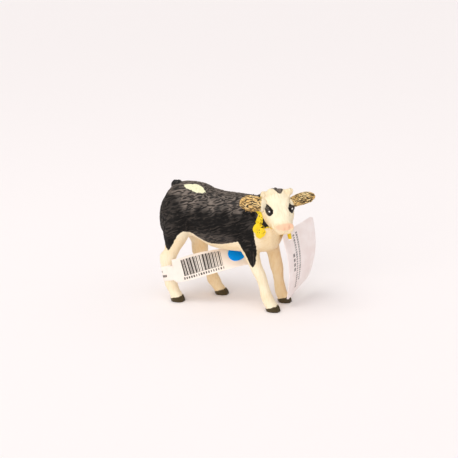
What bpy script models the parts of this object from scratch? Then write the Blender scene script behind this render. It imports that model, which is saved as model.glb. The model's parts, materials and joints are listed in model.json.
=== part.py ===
"""Toy farm animal: a standing calf moulded in solid vinyl, with its head turned to its right.

The figure is moulded in pieces that plug together: a body with four sockets underneath, four lower
legs, a head with the neck, two ears and a tail. Two tags hang on it: a paper label that is looped
round the right hind leg and has a round sticker, and a white card leaf on a strap round the neck.

X points to the calf's front, Y to its left and Z up. The origin is on the ground, under the middle
of the whole figure.
"""

import math

import bmesh
import bpy
from mathutils import Matrix, Vector
from mathutils.bvhtree import BVHTree

MM = 0.001

# Body
TRUNK_LENGTH = 64.3 * MM
BELLY_HEIGHT = 27.6 * MM
BODY_DEPTH = 33.4 * MM
BODY_WIDTH = 26.0 * MM
TRACK_WIDTH = 17.4 * MM
# How much of the trunk lies behind the middle of the four hooves.
REAR_SHARE = 0.658

# Legs
LEG_THICKNESS = 6.6 * MM
LEG_SEAM_DROP = 0.6 * MM
PEG_RADIUS = 1.5 * MM
PEG_LENGTH = 4.5 * MM

# Head and neck, in the head's own frame: X to the muzzle, Y to its left, Z out of the forehead
HEAD_LENGTH = 23.2 * MM
HEAD_WIDTH = 15.6 * MM
HEAD_DEPTH = 13.6 * MM
HEAD_TURN = math.radians(-55.4)
HEAD_PITCH = math.radians(41.8)
HEAD_ROLL = math.radians(6.6)
HORN_LEAN = math.radians(38)
# The poll, where the head's frame starts, as a place like those of the tail.
POLL_SHARES = (0.320, -0.385, 1.028)
NECK_WIDTH = 16.6 * MM
NECK_PEG_RADIUS = 3.0 * MM
NECK_PEG_LENGTH = 6.0 * MM
HORN_RADIUS = 1.5 * MM
HORN_LENGTH = 2.2 * MM
EYE_RADIUS = 1.9 * MM

# Ears and tail
EAR_LENGTH = 11.6 * MM
EAR_WIDTH = 8.6 * MM
EAR_THICKNESS = 2.6 * MM
TAIL_RADIUS = 1.75 * MM
TAIL_PEG_RADIUS = 1.4 * MM
TAIL_PEG_LENGTH = 4.5 * MM

# Paper tags
PAPER = 0.4 * MM
LABEL_WIDTH = 12.3 * MM
LABEL_THICKNESS = 0.6 * MM
LOOP_WIDTH = 7.6 * MM
LOOP_PLAY = 0.45 * MM
DOT_RADIUS = 4.0 * MM
DOT_THICKNESS = 0.3 * MM
STRAP_WIDTH = 4.0 * MM
STRAP_PLAY = 0.48 * MM
TAB_WIDTH = 3.4 * MM
TAB_THICKNESS = 1.2 * MM
TAB_REACH = 1.0 * MM
LEAF_WIDTH = 27.0 * MM
LEAF_HEIGHT = 35.0 * MM
LEAF_BOW = 2.8 * MM
LEAF_CORNER_RADIUS = 2.0 * MM
LEAF_STAND_OFF = 3.0 * MM

# Fits and mesh fineness
FIT = 0.3 * MM
OVERRUN = 2.0 * MM
MERGE = 0.01 * MM
VOXEL = 0.75 * MM
SMOOTHING_STEPS = 4
SKIN_TRIANGLES = 9000
RING_SIDES = 24
LIMB_SIDES = 16
NECK_PEG_SIDES = 20
PEG_SIDES = 12
BALL_RINGS = 12
LIMB_ROUNDNESS = 2.2
NECK_ROUNDNESS = 2.1

# Materials: name, colour, roughness
COAT = ("charcoal_vinyl", (0.035, 0.033, 0.035, 1.0), 0.5)
CREAM = ("cream_vinyl", (0.87, 0.80, 0.62, 1.0), 0.5)
EAR = ("tan_vinyl", (0.50, 0.35, 0.12, 1.0), 0.5)
PAPER_LOOK = ("paper", (0.86, 0.84, 0.83, 1.0), 0.7)
DOT = ("blue_paper", (0.0, 0.21, 0.72, 1.0), 0.5)
STRAP = ("yellow_strap", (0.90, 0.70, 0.02, 1.0), 0.5)
SHARP_ANGLE = math.radians(40)
LOOKS = {
    "torso": COAT,
    "head": CREAM,
    "right_ear": EAR,
    "left_ear": EAR,
    "tail": COAT,
    "right_front_leg": CREAM,
    "left_front_leg": CREAM,
    "right_hind_leg": CREAM,
    "left_hind_leg": CREAM,
    "leg_label": PAPER_LOOK,
    "price_dot": DOT,
    "tag_strap": STRAP,
    "tag_leaf": PAPER_LOOK,
}

# Rows of the trunk, rear to front: place along, top, bottom, half width, roundness.
# Tops and bottoms are shares of the body's depth above the belly.
TRUNK_SHARES = (
    (0.020, 0.60, 0.31, 0.20, 2.0),
    (0.042, 0.76, 0.17, 0.34, 2.1),
    (0.080, 0.88, 0.10, 0.42, 2.2),
    (0.135, 0.955, 0.10, 0.46, 2.2),
    (0.200, 0.990, 0.13, 0.47, 2.1),
    (0.290, 0.995, 0.16, 0.47, 2.1),
    (0.365, 0.975, 0.10, 0.465, 2.1),
    (0.435, 0.910, 0.035, 0.475, 2.2),
    (0.520, 0.878, 0.005, 0.49, 2.3),
    (0.620, 0.870, 0.0, 0.495, 2.3),
    (0.730, 0.858, 0.0, 0.475, 2.3),
    (0.820, 0.840, 0.01, 0.445, 2.2),
    (0.900, 0.770, 0.03, 0.40, 2.2),
    (0.960, 0.640, 0.08, 0.32, 2.1),
    (0.996, 0.440, 0.20, 0.16, 2.0),
)
# The level of the trunk's widest line, between its bottom and its top.
WIDEST_SHARE = 0.467

# Rows of a leg, ground to hip: height (1 is the belly, 2 the rump), place along from the middle of
# the hooves, place across in half tracks, and half thickness along and across in leg thicknesses.
RIGHT_HIND_SHARES = (
    (-0.035, -0.463, 1.06, 0.53, 0.49),
    (0.045, -0.468, 1.06, 0.54, 0.51),
    (0.140, -0.483, 1.06, 0.48, 0.48),
    (0.190, -0.499, 1.06, 0.46, 0.44),
    (0.290, -0.521, 1.06, 0.52, 0.47),
    (0.400, -0.530, 1.06, 0.49, 0.44),
    (0.560, -0.544, 1.06, 0.49, 0.45),
    (0.730, -0.554, 1.06, 0.57, 0.49),
    (0.860, -0.543, 1.06, 0.71, 0.56),
    (0.985, -0.507, 1.04, 0.60, 0.64),
    (1.080, -0.490, 1.00, 0.76, 0.74),
    (1.190, -0.481, 0.95, 0.97, 0.84),
    (1.310, -0.474, 0.90, 1.16, 0.92),
    (1.460, -0.466, 0.83, 1.28, 0.92),
    (1.640, -0.451, 0.76, 1.28, 0.86),
    (1.820, -0.435, 0.66, 1.06, 0.62),
)
LEFT_HIND_SHARES = (
    (-0.035, -0.192, 1.02, 0.52, 0.49),
    (0.045, -0.200, 1.02, 0.53, 0.51),
    (0.140, -0.231, 1.02, 0.50, 0.48),
    (0.190, -0.249, 1.02, 0.48, 0.44),
    (0.275, -0.267, 1.02, 0.52, 0.47),
    (0.370, -0.286, 1.02, 0.48, 0.44),
    (0.550, -0.331, 1.02, 0.50, 0.45),
    (0.750, -0.384, 1.02, 0.63, 0.52),
    (0.860, -0.388, 1.02, 0.66, 0.56),
    (0.985, -0.390, 1.02, 0.64, 0.64),
    (1.080, -0.404, 1.00, 0.78, 0.74),
    (1.190, -0.432, 0.95, 1.00, 0.84),
    (1.310, -0.451, 0.90, 1.22, 0.92),
    (1.460, -0.463, 0.83, 1.34, 0.92),
    (1.640, -0.456, 0.76, 1.36, 0.86),
    (1.820, -0.435, 0.66, 1.06, 0.62),
)
RIGHT_FRONT_SHARES = (
    (-0.035, 0.325, 0.88, 0.52, 0.47),
    (0.045, 0.318, 0.88, 0.54, 0.49),
    (0.130, 0.297, 0.88, 0.54, 0.47),
    (0.190, 0.279, 0.88, 0.50, 0.44),
    (0.265, 0.266, 0.88, 0.48, 0.45),
    (0.370, 0.252, 0.88, 0.42, 0.40),
    (0.480, 0.239, 0.89, 0.40, 0.39),
    (0.590, 0.223, 0.90, 0.43, 0.42),
    (0.690, 0.203, 0.91, 0.50, 0.46),
    (0.790, 0.181, 0.92, 0.50, 0.46),
    (0.890, 0.162, 0.92, 0.53, 0.48),
    (1.010, 0.143, 0.92, 0.63, 0.54),
    (1.080, 0.127, 0.92, 0.70, 0.58),
    (1.165, 0.112, 0.92, 0.78, 0.62),
    (1.290, 0.120, 0.90, 0.95, 0.68),
    (1.440, 0.140, 0.85, 1.10, 0.72),
    (1.600, 0.155, 0.76, 1.08, 0.68),
    (1.740, 0.155, 0.62, 0.86, 0.56),
)
LEFT_FRONT_SHARES = (
    (-0.035, 0.341, 0.92, 0.51, 0.47),
    (0.045, 0.336, 0.92, 0.52, 0.49),
    (0.120, 0.318, 0.92, 0.50, 0.47),
    (0.205, 0.301, 0.92, 0.46, 0.44),
    (0.310, 0.293, 0.92, 0.43, 0.42),
    (0.420, 0.284, 0.92, 0.40, 0.39),
    (0.530, 0.277, 0.92, 0.43, 0.41),
    (0.640, 0.269, 0.92, 0.52, 0.46),
    (0.750, 0.258, 0.92, 0.53, 0.47),
    (0.880, 0.246, 0.92, 0.52, 0.48),
    (1.010, 0.226, 0.92, 0.61, 0.54),
    (1.165, 0.192, 0.92, 0.76, 0.62),
    (1.290, 0.172, 0.90, 0.94, 0.68),
    (1.440, 0.163, 0.85, 1.10, 0.72),
    (1.600, 0.158, 0.76, 1.08, 0.68),
    (1.740, 0.155, 0.62, 0.86, 0.56),
)

# Rows of the neck, body to head: centre along from the middle of the hooves, centre across in half
# body widths, height in body depths above the belly, half width and half height in neck widths.
NECK_SHARES = (
    (0.080, 0.00, 0.60, 0.50, 0.53),
    (0.160, -0.02, 0.60, 0.54, 0.53),
    (0.225, -0.10, 0.655, 0.51, 0.54),
    (0.275, -0.24, 0.72, 0.47, 0.52),
    (0.320, -0.42, 0.77, 0.42, 0.47),
)

# Rows of the head, back of the poll to the lips: place along in head lengths, half width in head
# widths, forehead and throat levels in head depths, roundness.
HEAD_SHARES = (
    (-0.060, 0.25, -0.09, -0.62, 2.0),
    (0.020, 0.38, 0.03, -0.84, 2.1),
    (0.150, 0.44, 0.02, -0.96, 2.2),
    (0.290, 0.48, 0.015, -1.02, 2.2),
    (0.420, 0.49, 0.0, -1.05, 2.2),
    (0.540, 0.45, -0.03, -1.02, 2.2),
    (0.660, 0.365, -0.045, -0.93, 2.2),
    (0.780, 0.30, -0.035, -0.79, 2.3),
    (0.880, 0.29, -0.02, -0.65, 2.4),
    (0.950, 0.26, -0.06, -0.53, 2.3),
    (0.995, 0.17, -0.17, -0.42, 2.1),
)
# Places on the head: along in head lengths, across in head widths, out in head depths.
EYE_SHARES = (0.440, 0.355, -0.19)
HORN_SHARES = (0.065, 0.42, -0.10)
TUFT_SHARES = (0.03, 0.0, -0.13)
# The tuft's half length, half width and half depth, in head widths.
TUFT_SIZE_SHARES = (0.154, 0.182, 0.140)
# The ears in the head's frame: where each leaves the head, the way it runs and the way it faces.
RIGHT_EAR_ROOT_SHARES = (0.245, -0.475, -0.29)
RIGHT_EAR_WAY = (-0.27, -0.96, 0.0)
RIGHT_EAR_FACE = (0.86, 0.0, -0.51)
LEFT_EAR_ROOT_SHARES = (0.285, 0.475, -0.225)
LEFT_EAR_WAY = (-0.20, 0.96, 0.0)
LEFT_EAR_FACE = (0.96, 0.0, 0.28)

# Rows of an ear, root to tip: place in ear lengths, half width in ear widths, half thickness.
EAR_SHARES = (
    (-0.22, 0.24, 0.38),
    (-0.06, 0.33, 0.44),
    (0.12, 0.42, 0.50),
    (0.30, 0.485, 0.52),
    (0.52, 0.50, 0.48),
    (0.72, 0.46, 0.42),
    (0.88, 0.33, 0.34),
    (0.98, 0.15, 0.22),
)

# The tail's route: along in trunk lengths from the middle of the hooves, across in half body widths,
# height in body depths above the belly, radius in tail radii.
TAIL_SHARES = (
    (-0.485, 0.00, 0.915, 0.95),
    (-0.508, 0.01, 0.940, 1.08),
    (-0.537, 0.06, 0.930, 1.12),
    (-0.566, 0.22, 0.870, 1.05),
    (-0.600, 0.42, 0.770, 0.92),
    (-0.622, 0.60, 0.590, 0.85),
    (-0.622, 0.76, 0.400, 0.85),
    (-0.600, 0.88, 0.220, 0.95),
    (-0.580, 0.93, 0.080, 1.05),
    (-0.570, 0.94, -0.040, 0.80),
    (-0.566, 0.94, -0.100, 0.30),
)
TAIL_PEG_WAY = (0.75, 0.0, -0.66)

# The plane that parts the neck from the body.
NECK_SEAM_WAY = (0.70, -0.45, 0.55)
NECK_SEAM_SHARES = (0.225, -0.22, 0.705)

# The strap's route round the neck, as places like those of the tail, with a width in strap widths.
# The route starts under the right ear. The place behind the leaf's slit is put in at the seat row.
STRAP_SHARES = (
    (0.217, -0.775, 0.657, 0.44),
    (0.215, -0.808, 0.587, 0.50),
    (0.207, -0.846, 0.497, 0.66),
    (0.206, -0.854, 0.425, 1.05),
    (0.225, -0.815, 0.380, 1.25),
    (0.252, -0.765, 0.434, 0.60),
    (0.292, -0.650, 0.464, 0.48),
    (0.330, -0.423, 0.440, 0.50),
    (0.344, -0.138, 0.359, 0.50),
    (0.348, 0.108, 0.293, 0.50),
    (0.342, 0.477, 0.335, 0.50),
    (0.342, 0.431, 0.431, 0.50),
    (0.347, 0.277, 0.551, 0.50),
    (0.350, 0.238, 0.671, 0.50),
    (0.341, 0.238, 0.770, 0.50),
    (0.312, 0.120, 0.890, 0.50),
    (0.272, -0.080, 0.940, 0.46),
    (0.242, -0.270, 0.938, 0.44),
    (0.217, -0.440, 0.905, 0.42),
    (0.195, -0.545, 0.860, 0.42),
    (0.167, -0.625, 0.800, 0.42),
    (0.171, -0.700, 0.745, 0.42),
    (0.188, -0.765, 0.704, 0.42),
)
STRAP_SEAT_ROW = 10
STRAP_STEPS = 3

# Rows of the label along its lower edge, from the leg to its front end: place along in trunk
# lengths from the middle of the hooves, across in half tracks, drop below the belly and width in
# label widths, lean inwards in degrees.
LABEL_SHARES = (
    (-0.532, -1.472, 1.335, 0.62, 0.0),
    (-0.490, -1.464, 1.290, 0.62, 0.0),
    (-0.466, -1.412, 1.268, 0.62, 0.0),
    (-0.454, -1.390, 1.373, 1.00, 0.0),
    (-0.376, -1.357, 1.277, 1.00, 3.0),
    (-0.299, -1.276, 1.138, 1.00, 12.0),
    (-0.221, -1.149, 0.992, 1.00, 24.0),
    (-0.148, -1.000, 0.862, 1.00, 33.0),
    (-0.078, -0.828, 0.740, 1.00, 42.0),
    (-0.008, -0.643, 0.626, 1.00, 50.0),
    (0.047, -0.483, 0.552, 1.00, 58.0),
    (0.086, -0.392, 0.512, 1.00, 62.0),
    (0.120, -0.314, 0.487, 1.00, 66.0),
)
LABEL_STEPS = 2
LABEL_COLUMNS = 4
LABEL_OUTWARD = Vector((0, -1, 0))
# The loop's middle and the label's hinge point as levels in belly heights, and the loop's rise to
# the front as a share of its run.
LOOP_LEVEL_SHARE = 0.545
HINGE_LEVEL_SHARE = 0.40
LOOP_SLOPE_SHARE = 0.33
LOOP_POINTS = 24
# The sticker's place on the label: a row of the table above and a share of the width, and where its
# flat middle ends as a share of its radius.
DOT_ROW_SHARE = 9.3
DOT_WIDTH_SHARE = 0.50
DOT_MIDDLE_SHARE = 0.4

# The leaf: the middle of its slit, as a place like those of the tail, and the ways its width and
# its height run.
LEAF_PLACE_SHARES = (0.3946, 0.186, 0.274)
LEAF_ACROSS_TOP = (0.30, 0.945, 0.15)
LEAF_ACROSS_LOW = (0.14, 0.966, 0.215)
LEAF_DOWN = (0.067, 0.043, -0.997)
# Where the slit is on the leaf, in leaf widths across and leaf heights down.
SLIT_SHARES = (0.20, 0.075)
LEAF_ROWS = 12
LEAF_COLUMNS = 6


def clear_scene():
    for item in list(bpy.data.objects):
        bpy.data.objects.remove(item, do_unlink=True)


def new_collection(name, hidden=False):
    collection = bpy.data.collections.new(name)
    bpy.context.scene.collection.children.link(collection)
    collection.hide_render = hidden
    return collection


def material(name, colour, roughness):
    made = bpy.data.materials.new(name)
    made.use_nodes = True
    shader = made.node_tree.nodes["Principled BSDF"]
    shader.inputs["Base Color"].default_value = colour
    shader.inputs["Roughness"].default_value = roughness
    shader.inputs["Metallic"].default_value = 0.0
    return made


def body_place(along, across, level):
    """A point from shares of the trunk's length, the body's half width and its depth."""
    x = along * TRUNK_LENGTH
    y = across * BODY_WIDTH / 2
    z = BELLY_HEIGHT + level * BODY_DEPTH
    return Vector((x, y, z))


def head_frame():
    place = Matrix.Translation(body_place(*POLL_SHARES))
    turn = Matrix.Rotation(HEAD_TURN, 4, "Z")
    pitch = Matrix.Rotation(HEAD_PITCH, 4, "Y")
    roll = Matrix.Rotation(HEAD_ROLL, 4, "X")
    return place @ turn @ pitch @ roll


def head_place(along, across, out):
    """A point in the head's frame from shares of its length, width and depth."""
    return Vector((along * HEAD_LENGTH, across * HEAD_WIDTH, out * HEAD_DEPTH))


def section(centre, side, rise, half_width, above, below, roundness, sides=RING_SIDES):
    """One closed ring of a loft: a rounded section round a centre, fuller where roundness is high."""
    points = []
    for step in range(sides):
        angle = 2 * math.pi * step / sides
        across = math.cos(angle)
        up = math.sin(angle)
        reach = above if up >= 0 else below
        wide = math.copysign(abs(across) ** (2 / roundness), across) * half_width
        high = math.copysign(abs(up) ** (2 / roundness), up) * reach
        points.append(centre + side * wide + rise * high)
    return points


def mesh_object(name, shape, collection):
    bmesh.ops.recalc_face_normals(shape, faces=shape.faces)
    if shape.calc_volume(signed=True) < 0:
        bmesh.ops.reverse_faces(shape, faces=shape.faces)
    mesh = bpy.data.meshes.new(name)
    shape.to_mesh(mesh)
    shape.free()
    made = bpy.data.objects.new(name, mesh)
    collection.objects.link(made)
    return made


def loft(name, rings, collection, closed=False):
    """A closed skin over rings of equal count, capped at both ends or joined end to start."""
    shape = bmesh.new()
    rows = [[shape.verts.new(point) for point in ring] for ring in rings]
    pairs = list(zip(rows, rows[1:]))
    if closed:
        pairs.append((rows[-1], rows[0]))
    for near, far in pairs:
        for step in range(len(near)):
            after = (step + 1) % len(near)
            shape.faces.new((near[step], near[after], far[after], far[step]))
    if not closed:
        shape.faces.new(rows[0])
        shape.faces.new(rows[-1])
    return mesh_object(name, shape, collection)


def tube(name, places, radii, collection):
    """A round loft along a list of places, with its own radius at each."""
    rings = []
    side = (places[1] - places[0]).orthogonal()
    for step, (place, radius) in enumerate(zip(places, radii)):
        before = places[max(step - 1, 0)]
        after = places[min(step + 1, len(places) - 1)]
        way = (after - before).normalized()
        side = (side - way * side.dot(way)).normalized()
        rings.append(section(place, side, way.cross(side), radius, radius, radius, 2, PEG_SIDES))
    return loft(name, rings, collection)


def ball(name, centre, radii, turn, collection):
    shape = bmesh.new()
    bmesh.ops.create_uvsphere(shape, u_segments=LIMB_SIDES, v_segments=BALL_RINGS, radius=1)
    place = Matrix.Translation(centre) @ turn.to_4x4() @ Matrix.Diagonal((*radii, 1))
    bmesh.ops.transform(shape, matrix=place, verts=shape.verts)
    return mesh_object(name, shape, collection)


def rod(name, start, way, length, radius, collection, sides=PEG_SIDES):
    """A round pin from a point, along a way."""
    shape = bmesh.new()
    bmesh.ops.create_cone(
        shape, cap_ends=True, segments=sides, radius1=radius, radius2=radius, depth=length
    )
    turn = way.to_track_quat("Z", "Y").to_matrix().to_4x4()
    place = Matrix.Translation(start + way.normalized() * length / 2)
    bmesh.ops.transform(shape, matrix=place @ turn, verts=shape.verts)
    return mesh_object(name, shape, collection)


def block(name, low, high, collection, turn=None, pivot=None):
    """A box from its corners, turned about a pivot where one is given."""
    shape = bmesh.new()
    bmesh.ops.create_cube(shape, size=1)
    middle = (low + high) / 2
    place = Matrix.Translation(middle) @ Matrix.Diagonal((*(high - low), 1))
    if turn is not None:
        place = Matrix.Translation(pivot) @ turn @ place
    bmesh.ops.transform(shape, matrix=place, verts=shape.verts)
    return mesh_object(name, shape, collection)


def bake(thing):
    """Replaces the object's mesh by what its modifiers make of it."""
    graph = bpy.context.evaluated_depsgraph_get()
    mesh = bpy.data.meshes.new_from_object(thing.evaluated_get(graph))
    thing.modifiers.clear()
    shape = bmesh.new()
    shape.from_mesh(mesh)
    bmesh.ops.remove_doubles(shape, verts=shape.verts, dist=MERGE)
    bmesh.ops.dissolve_degenerate(shape, edges=shape.edges, dist=MERGE)
    shape.to_mesh(mesh)
    shape.free()
    old = thing.data
    thing.data = mesh
    mesh.name = old.name
    bpy.data.meshes.remove(old)


def carve(thing, operation, others):
    """Joins, cuts or keeps the object with each of the others, which are then removed."""
    for other in others:
        step = thing.modifiers.new("carve", "BOOLEAN")
        step.operation = operation
        step.solver = "EXACT"
        step.object = other
        bake(thing)
        bpy.data.objects.remove(other, do_unlink=True)


def copy_of(thing, name, collection):
    made = bpy.data.objects.new(name, thing.data.copy())
    collection.objects.link(made)
    return made


def melt(name, pieces, collection):
    """Runs overlapping lofts together into one smooth skin."""
    shape = bmesh.new()
    for piece in pieces:
        shape.from_mesh(piece.data)
        bpy.data.objects.remove(piece, do_unlink=True)
    mesh = bpy.data.meshes.new(name)
    shape.to_mesh(mesh)
    shape.free()
    made = bpy.data.objects.new(name, mesh)
    collection.objects.link(made)
    grid = made.modifiers.new("grid", "REMESH")
    grid.mode = "VOXEL"
    grid.voxel_size = VOXEL
    soft = made.modifiers.new("soft", "SMOOTH")
    soft.iterations = SMOOTHING_STEPS
    bake(made)
    found = sum(len(face.vertices) - 2 for face in made.data.polygons)
    thin = made.modifiers.new("thin", "DECIMATE")
    thin.ratio = min(1, SKIN_TRIANGLES / found)
    bake(made)
    return made


def trunk(cutters):
    rings = []
    side = Vector((0, 1, 0))
    rise = Vector((0, 0, 1))
    for along, top, bottom, half_width, roundness in TRUNK_SHARES:
        level = bottom + (top - bottom) * WIDEST_SHARE
        centre = body_place(along - REAR_SHARE, 0, level)
        above = (top - level) * BODY_DEPTH
        below = (level - bottom) * BODY_DEPTH
        rings.append(section(centre, side, rise, half_width * BODY_WIDTH, above, below, roundness))
    return loft("trunk", rings, cutters)


def leg_form(name, shares, hand, cutters):
    rings = []
    side = Vector((0, 1, 0))
    rise = Vector((1, 0, 0))
    for level, along, across, half_along, half_across in shares:
        low = min(level, 1) * BELLY_HEIGHT
        high = max(level - 1, 0) * BODY_DEPTH
        place = Vector((along * TRUNK_LENGTH, hand * across * TRACK_WIDTH / 2, low + high))
        wide = half_across * LEG_THICKNESS
        deep = half_along * LEG_THICKNESS
        rings.append(section(place, side, rise, wide, deep, deep, LIMB_ROUNDNESS, LIMB_SIDES))
    return loft(name, rings, cutters)


def neck_form(cutters):
    places = [body_place(*row[:3]) for row in NECK_SHARES]
    rings = []
    for step, row in enumerate(NECK_SHARES):
        before = places[max(step - 1, 0)]
        after = places[min(step + 1, len(places) - 1)]
        way = (after - before).normalized()
        side = Vector((0, 0, 1)).cross(way).normalized()
        rise = way.cross(side)
        wide = row[3] * NECK_WIDTH
        high = row[4] * NECK_WIDTH
        rings.append(section(places[step], side, rise, wide, high, high, NECK_ROUNDNESS))
    return loft("neck", rings, cutters)


def skull(frame, cutters):
    """The head without its eyes, horn buds and tuft."""
    turn = frame.to_3x3()
    side = turn @ Vector((0, 1, 0))
    rise = turn @ Vector((0, 0, 1))
    rings = []
    for along, half_width, out, low, roundness in HEAD_SHARES:
        centre = frame @ head_place(along, 0, (out + low) / 2)
        reach = (out - low) / 2 * HEAD_DEPTH
        wide = half_width * HEAD_WIDTH
        rings.append(section(centre, side, rise, wide, reach, reach, roundness))
    return loft("skull", rings, cutters)


def head_forms(frame, cutters):
    turn = frame.to_3x3()
    forms = [skull(frame, cutters)]
    for hand in (-1, 1):
        along, across, out = EYE_SHARES
        eye = frame @ head_place(along, hand * across, out)
        forms.append(ball("eye", eye, (EYE_RADIUS, EYE_RADIUS, EYE_RADIUS), turn, cutters))
        along, across, out = HORN_SHARES
        horn = frame @ head_place(along, hand * across, out)
        lean = Matrix.Rotation(-hand * HORN_LEAN, 3, "X")
        radii = (HORN_RADIUS, HORN_RADIUS, HORN_LENGTH)
        forms.append(ball("horn", horn, radii, turn @ lean, cutters))
    radii = [share * HEAD_WIDTH for share in TUFT_SIZE_SHARES]
    forms.append(ball("tuft", frame @ head_place(*TUFT_SHARES), radii, turn, cutters))
    return forms


def ear_form(name, frame, shares, collection, spare=0):
    """An oval ear, or one that is larger by a spare distance all round."""
    root_shares, way_shares, face_shares = shares
    turn = frame.to_3x3()
    root = frame @ head_place(*root_shares)
    way = (turn @ Vector(way_shares)).normalized()
    face = turn @ Vector(face_shares)
    face = (face - way * face.dot(way)).normalized()
    front = way.cross(face).normalized()
    rings = []
    for step, (along, half_width, half_thickness) in enumerate(EAR_SHARES):
        place = root + way * along * EAR_LENGTH
        if step == 0:
            place -= way * spare
        thick = half_thickness * EAR_THICKNESS + spare
        wide = half_width * EAR_WIDTH + spare
        rings.append(section(place, face, front, wide, thick, thick, 2, LIMB_SIDES))
    return loft(name, rings, collection)


def ear(name, frame, shares, head, parts, cutters):
    """An ear whose narrower root plugs into an oval socket in the side of the head."""
    carve(head, "DIFFERENCE", [ear_form("ear_socket", frame, shares, cutters, FIT)])
    return ear_form(name, frame, shares, parts)


def tail(body, parts, cutters):
    """The tail, which lies in a groove down the rump and has a peg at its root."""
    places = [body_place(*row[:3]) for row in TAIL_SHARES]
    radii = [row[3] * TAIL_RADIUS for row in TAIL_SHARES]
    made = tube("tail", places, radii, parts)
    way = Vector(TAIL_PEG_WAY).normalized()
    start = places[0] - way * TAIL_PEG_RADIUS
    length = TAIL_PEG_LENGTH + TAIL_PEG_RADIUS
    carve(made, "UNION", [rod("tail_peg", start, way, length, TAIL_PEG_RADIUS, cutters)])
    length += FIT
    hole = rod("tail_hole", start, way, length, TAIL_PEG_RADIUS + FIT, cutters)
    bed = [places[0] + (places[0] - places[1]).normalized() * FIT] + places[1:]
    grown = [radius + FIT for radius in radii]
    carve(body, "DIFFERENCE", [hole, tube("groove", bed, grown, cutters)])
    return made


def leg_axis(shares, hand, level):
    """The middle of a leg at a height in belly heights, and its half thickness along and across."""
    rows = [row for row in shares if row[0] <= level]
    low = rows[-1]
    high = shares[len(rows)]
    part = (level - low[0]) / (high[0] - low[0])
    row = [near + (far - near) * part for near, far in zip(low, high)]
    up = min(level, 1) * BELLY_HEIGHT + max(level - 1, 0) * BODY_DEPTH
    place = Vector((row[1] * TRUNK_LENGTH, hand * row[2] * TRACK_WIDTH / 2, up))
    return place, row[3] * LEG_THICKNESS, row[4] * LEG_THICKNESS


def lower_leg(name, shares, hand, front, skin, body, parts, cutters):
    """The leg below the seam, with the round peg that holds it in the body."""
    seam = BELLY_HEIGHT - LEG_SEAM_DROP
    made = copy_of(skin, name, parts)
    low = Vector((0 if front else -TRUNK_LENGTH, 0 if hand > 0 else -BODY_WIDTH, 0))
    high = Vector((TRUNK_LENGTH if front else 0, BODY_WIDTH if hand > 0 else 0, seam - FIT / 2))
    carve(made, "INTERSECT", [block("keep", low, high, cutters)])
    middle, _, _ = leg_axis(shares, hand, 1 + PEG_LENGTH / BODY_DEPTH / 2)
    start = Vector((middle.x, middle.y, seam - OVERRUN))
    up = Vector((0, 0, 1))
    length = PEG_LENGTH + OVERRUN
    carve(made, "UNION", [rod("peg", start, up, length, PEG_RADIUS, cutters)])
    length += FIT
    carve(body, "DIFFERENCE", [rod("socket", start, up, length, PEG_RADIUS + FIT, cutters)])
    return made


def part_skin(skin, parts, cutters):
    """Parts the one skin into the body and the head, which keep a small gap at the neck's seam."""
    head = copy_of(skin, "head", parts)
    way = Vector(NECK_SEAM_WAY).normalized()
    pivot = body_place(*NECK_SEAM_SHARES)
    turn = way.to_track_quat("Z", "Y").to_matrix().to_4x4()
    far = Vector((TRUNK_LENGTH, TRUNK_LENGTH, TRUNK_LENGTH))
    near = Vector((-TRUNK_LENGTH, -TRUNK_LENGTH, FIT / 2))
    carve(head, "INTERSECT", [block("head_side", near, far, cutters, turn, pivot)])
    near.z = -FIT / 2
    carve(skin, "DIFFERENCE", [block("body_side", near, far, cutters, turn, pivot)])
    start = pivot + way * OVERRUN
    length = NECK_PEG_LENGTH + OVERRUN
    radius = NECK_PEG_RADIUS
    carve(head, "UNION", [rod("neck_peg", start, -way, length, radius, cutters, NECK_PEG_SIDES)])
    length += FIT
    radius += FIT
    carve(skin, "DIFFERENCE", [rod("neck_hole", start, -way, length, radius, cutters, NECK_PEG_SIDES)])
    return head


def curve_through(rows, count, closed):
    """Points of a smooth curve through rows of numbers, a count of them for each row."""
    found = []
    total = len(rows)
    spans = total if closed else total - 1
    for span in range(spans):
        for step in range(count):
            part = step / count
            picks = []
            for offset in (-1, 0, 1, 2):
                at = span + offset
                picks.append(rows[at % total] if closed else rows[min(max(at, 0), total - 1)])
            point = []
            for before, near, far, after in zip(*picks):
                pull = (far - before) / 2
                push = (after - near) / 2
                square = part * part
                cube = square * part
                point.append(
                    (2 * cube - 3 * square + 1) * near
                    + (cube - 2 * square + part) * pull
                    + (3 * square - 2 * cube) * far
                    + (cube - square) * push
                )
            found.append(point)
    if not closed:
        found.append(list(rows[-1]))
    return found


def clear_of(tree, place, distance):
    """The place, or the nearest one outside the skin by the distance."""
    spot, normal, _, _ = tree.find_nearest(place)
    if (place - spot).dot(normal) < distance:
        return spot + normal * distance
    return place


def strip_lines(lower, upper, columns):
    """Lines that part the strip between two edges into even columns, the edges among them."""
    shares = [column / columns for column in range(columns + 1)]
    return [[low.lerp(high, share) for low, high in zip(lower, upper)] for share in shares]


def facing(lower, upper, outward, step, closed=False):
    """The way out of the strip between a lower and an upper edge, at one of their points."""
    count = len(lower)
    before = step - 1 if step or closed else 0
    after = (step + 1) % count if closed else min(step + 1, count - 1)
    way = (lower[after] + upper[after] - lower[before] - upper[before]).normalized()
    out = (upper[step] - lower[step]).cross(way).normalized()
    return -out if out.dot(outward) < 0 else out


def ribbon(name, lines, thickness, outward, collection, closed=False):
    """A strip over lines side by side, thick on both sides of the surface through them."""
    rings = []
    for step, row in enumerate(zip(*lines)):
        half = facing(lines[0], lines[-1], outward[step], step, closed) * thickness / 2
        rings.append([point - half for point in row] + [point + half for point in row[::-1]])
    return loft(name, rings, collection, closed)


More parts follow.
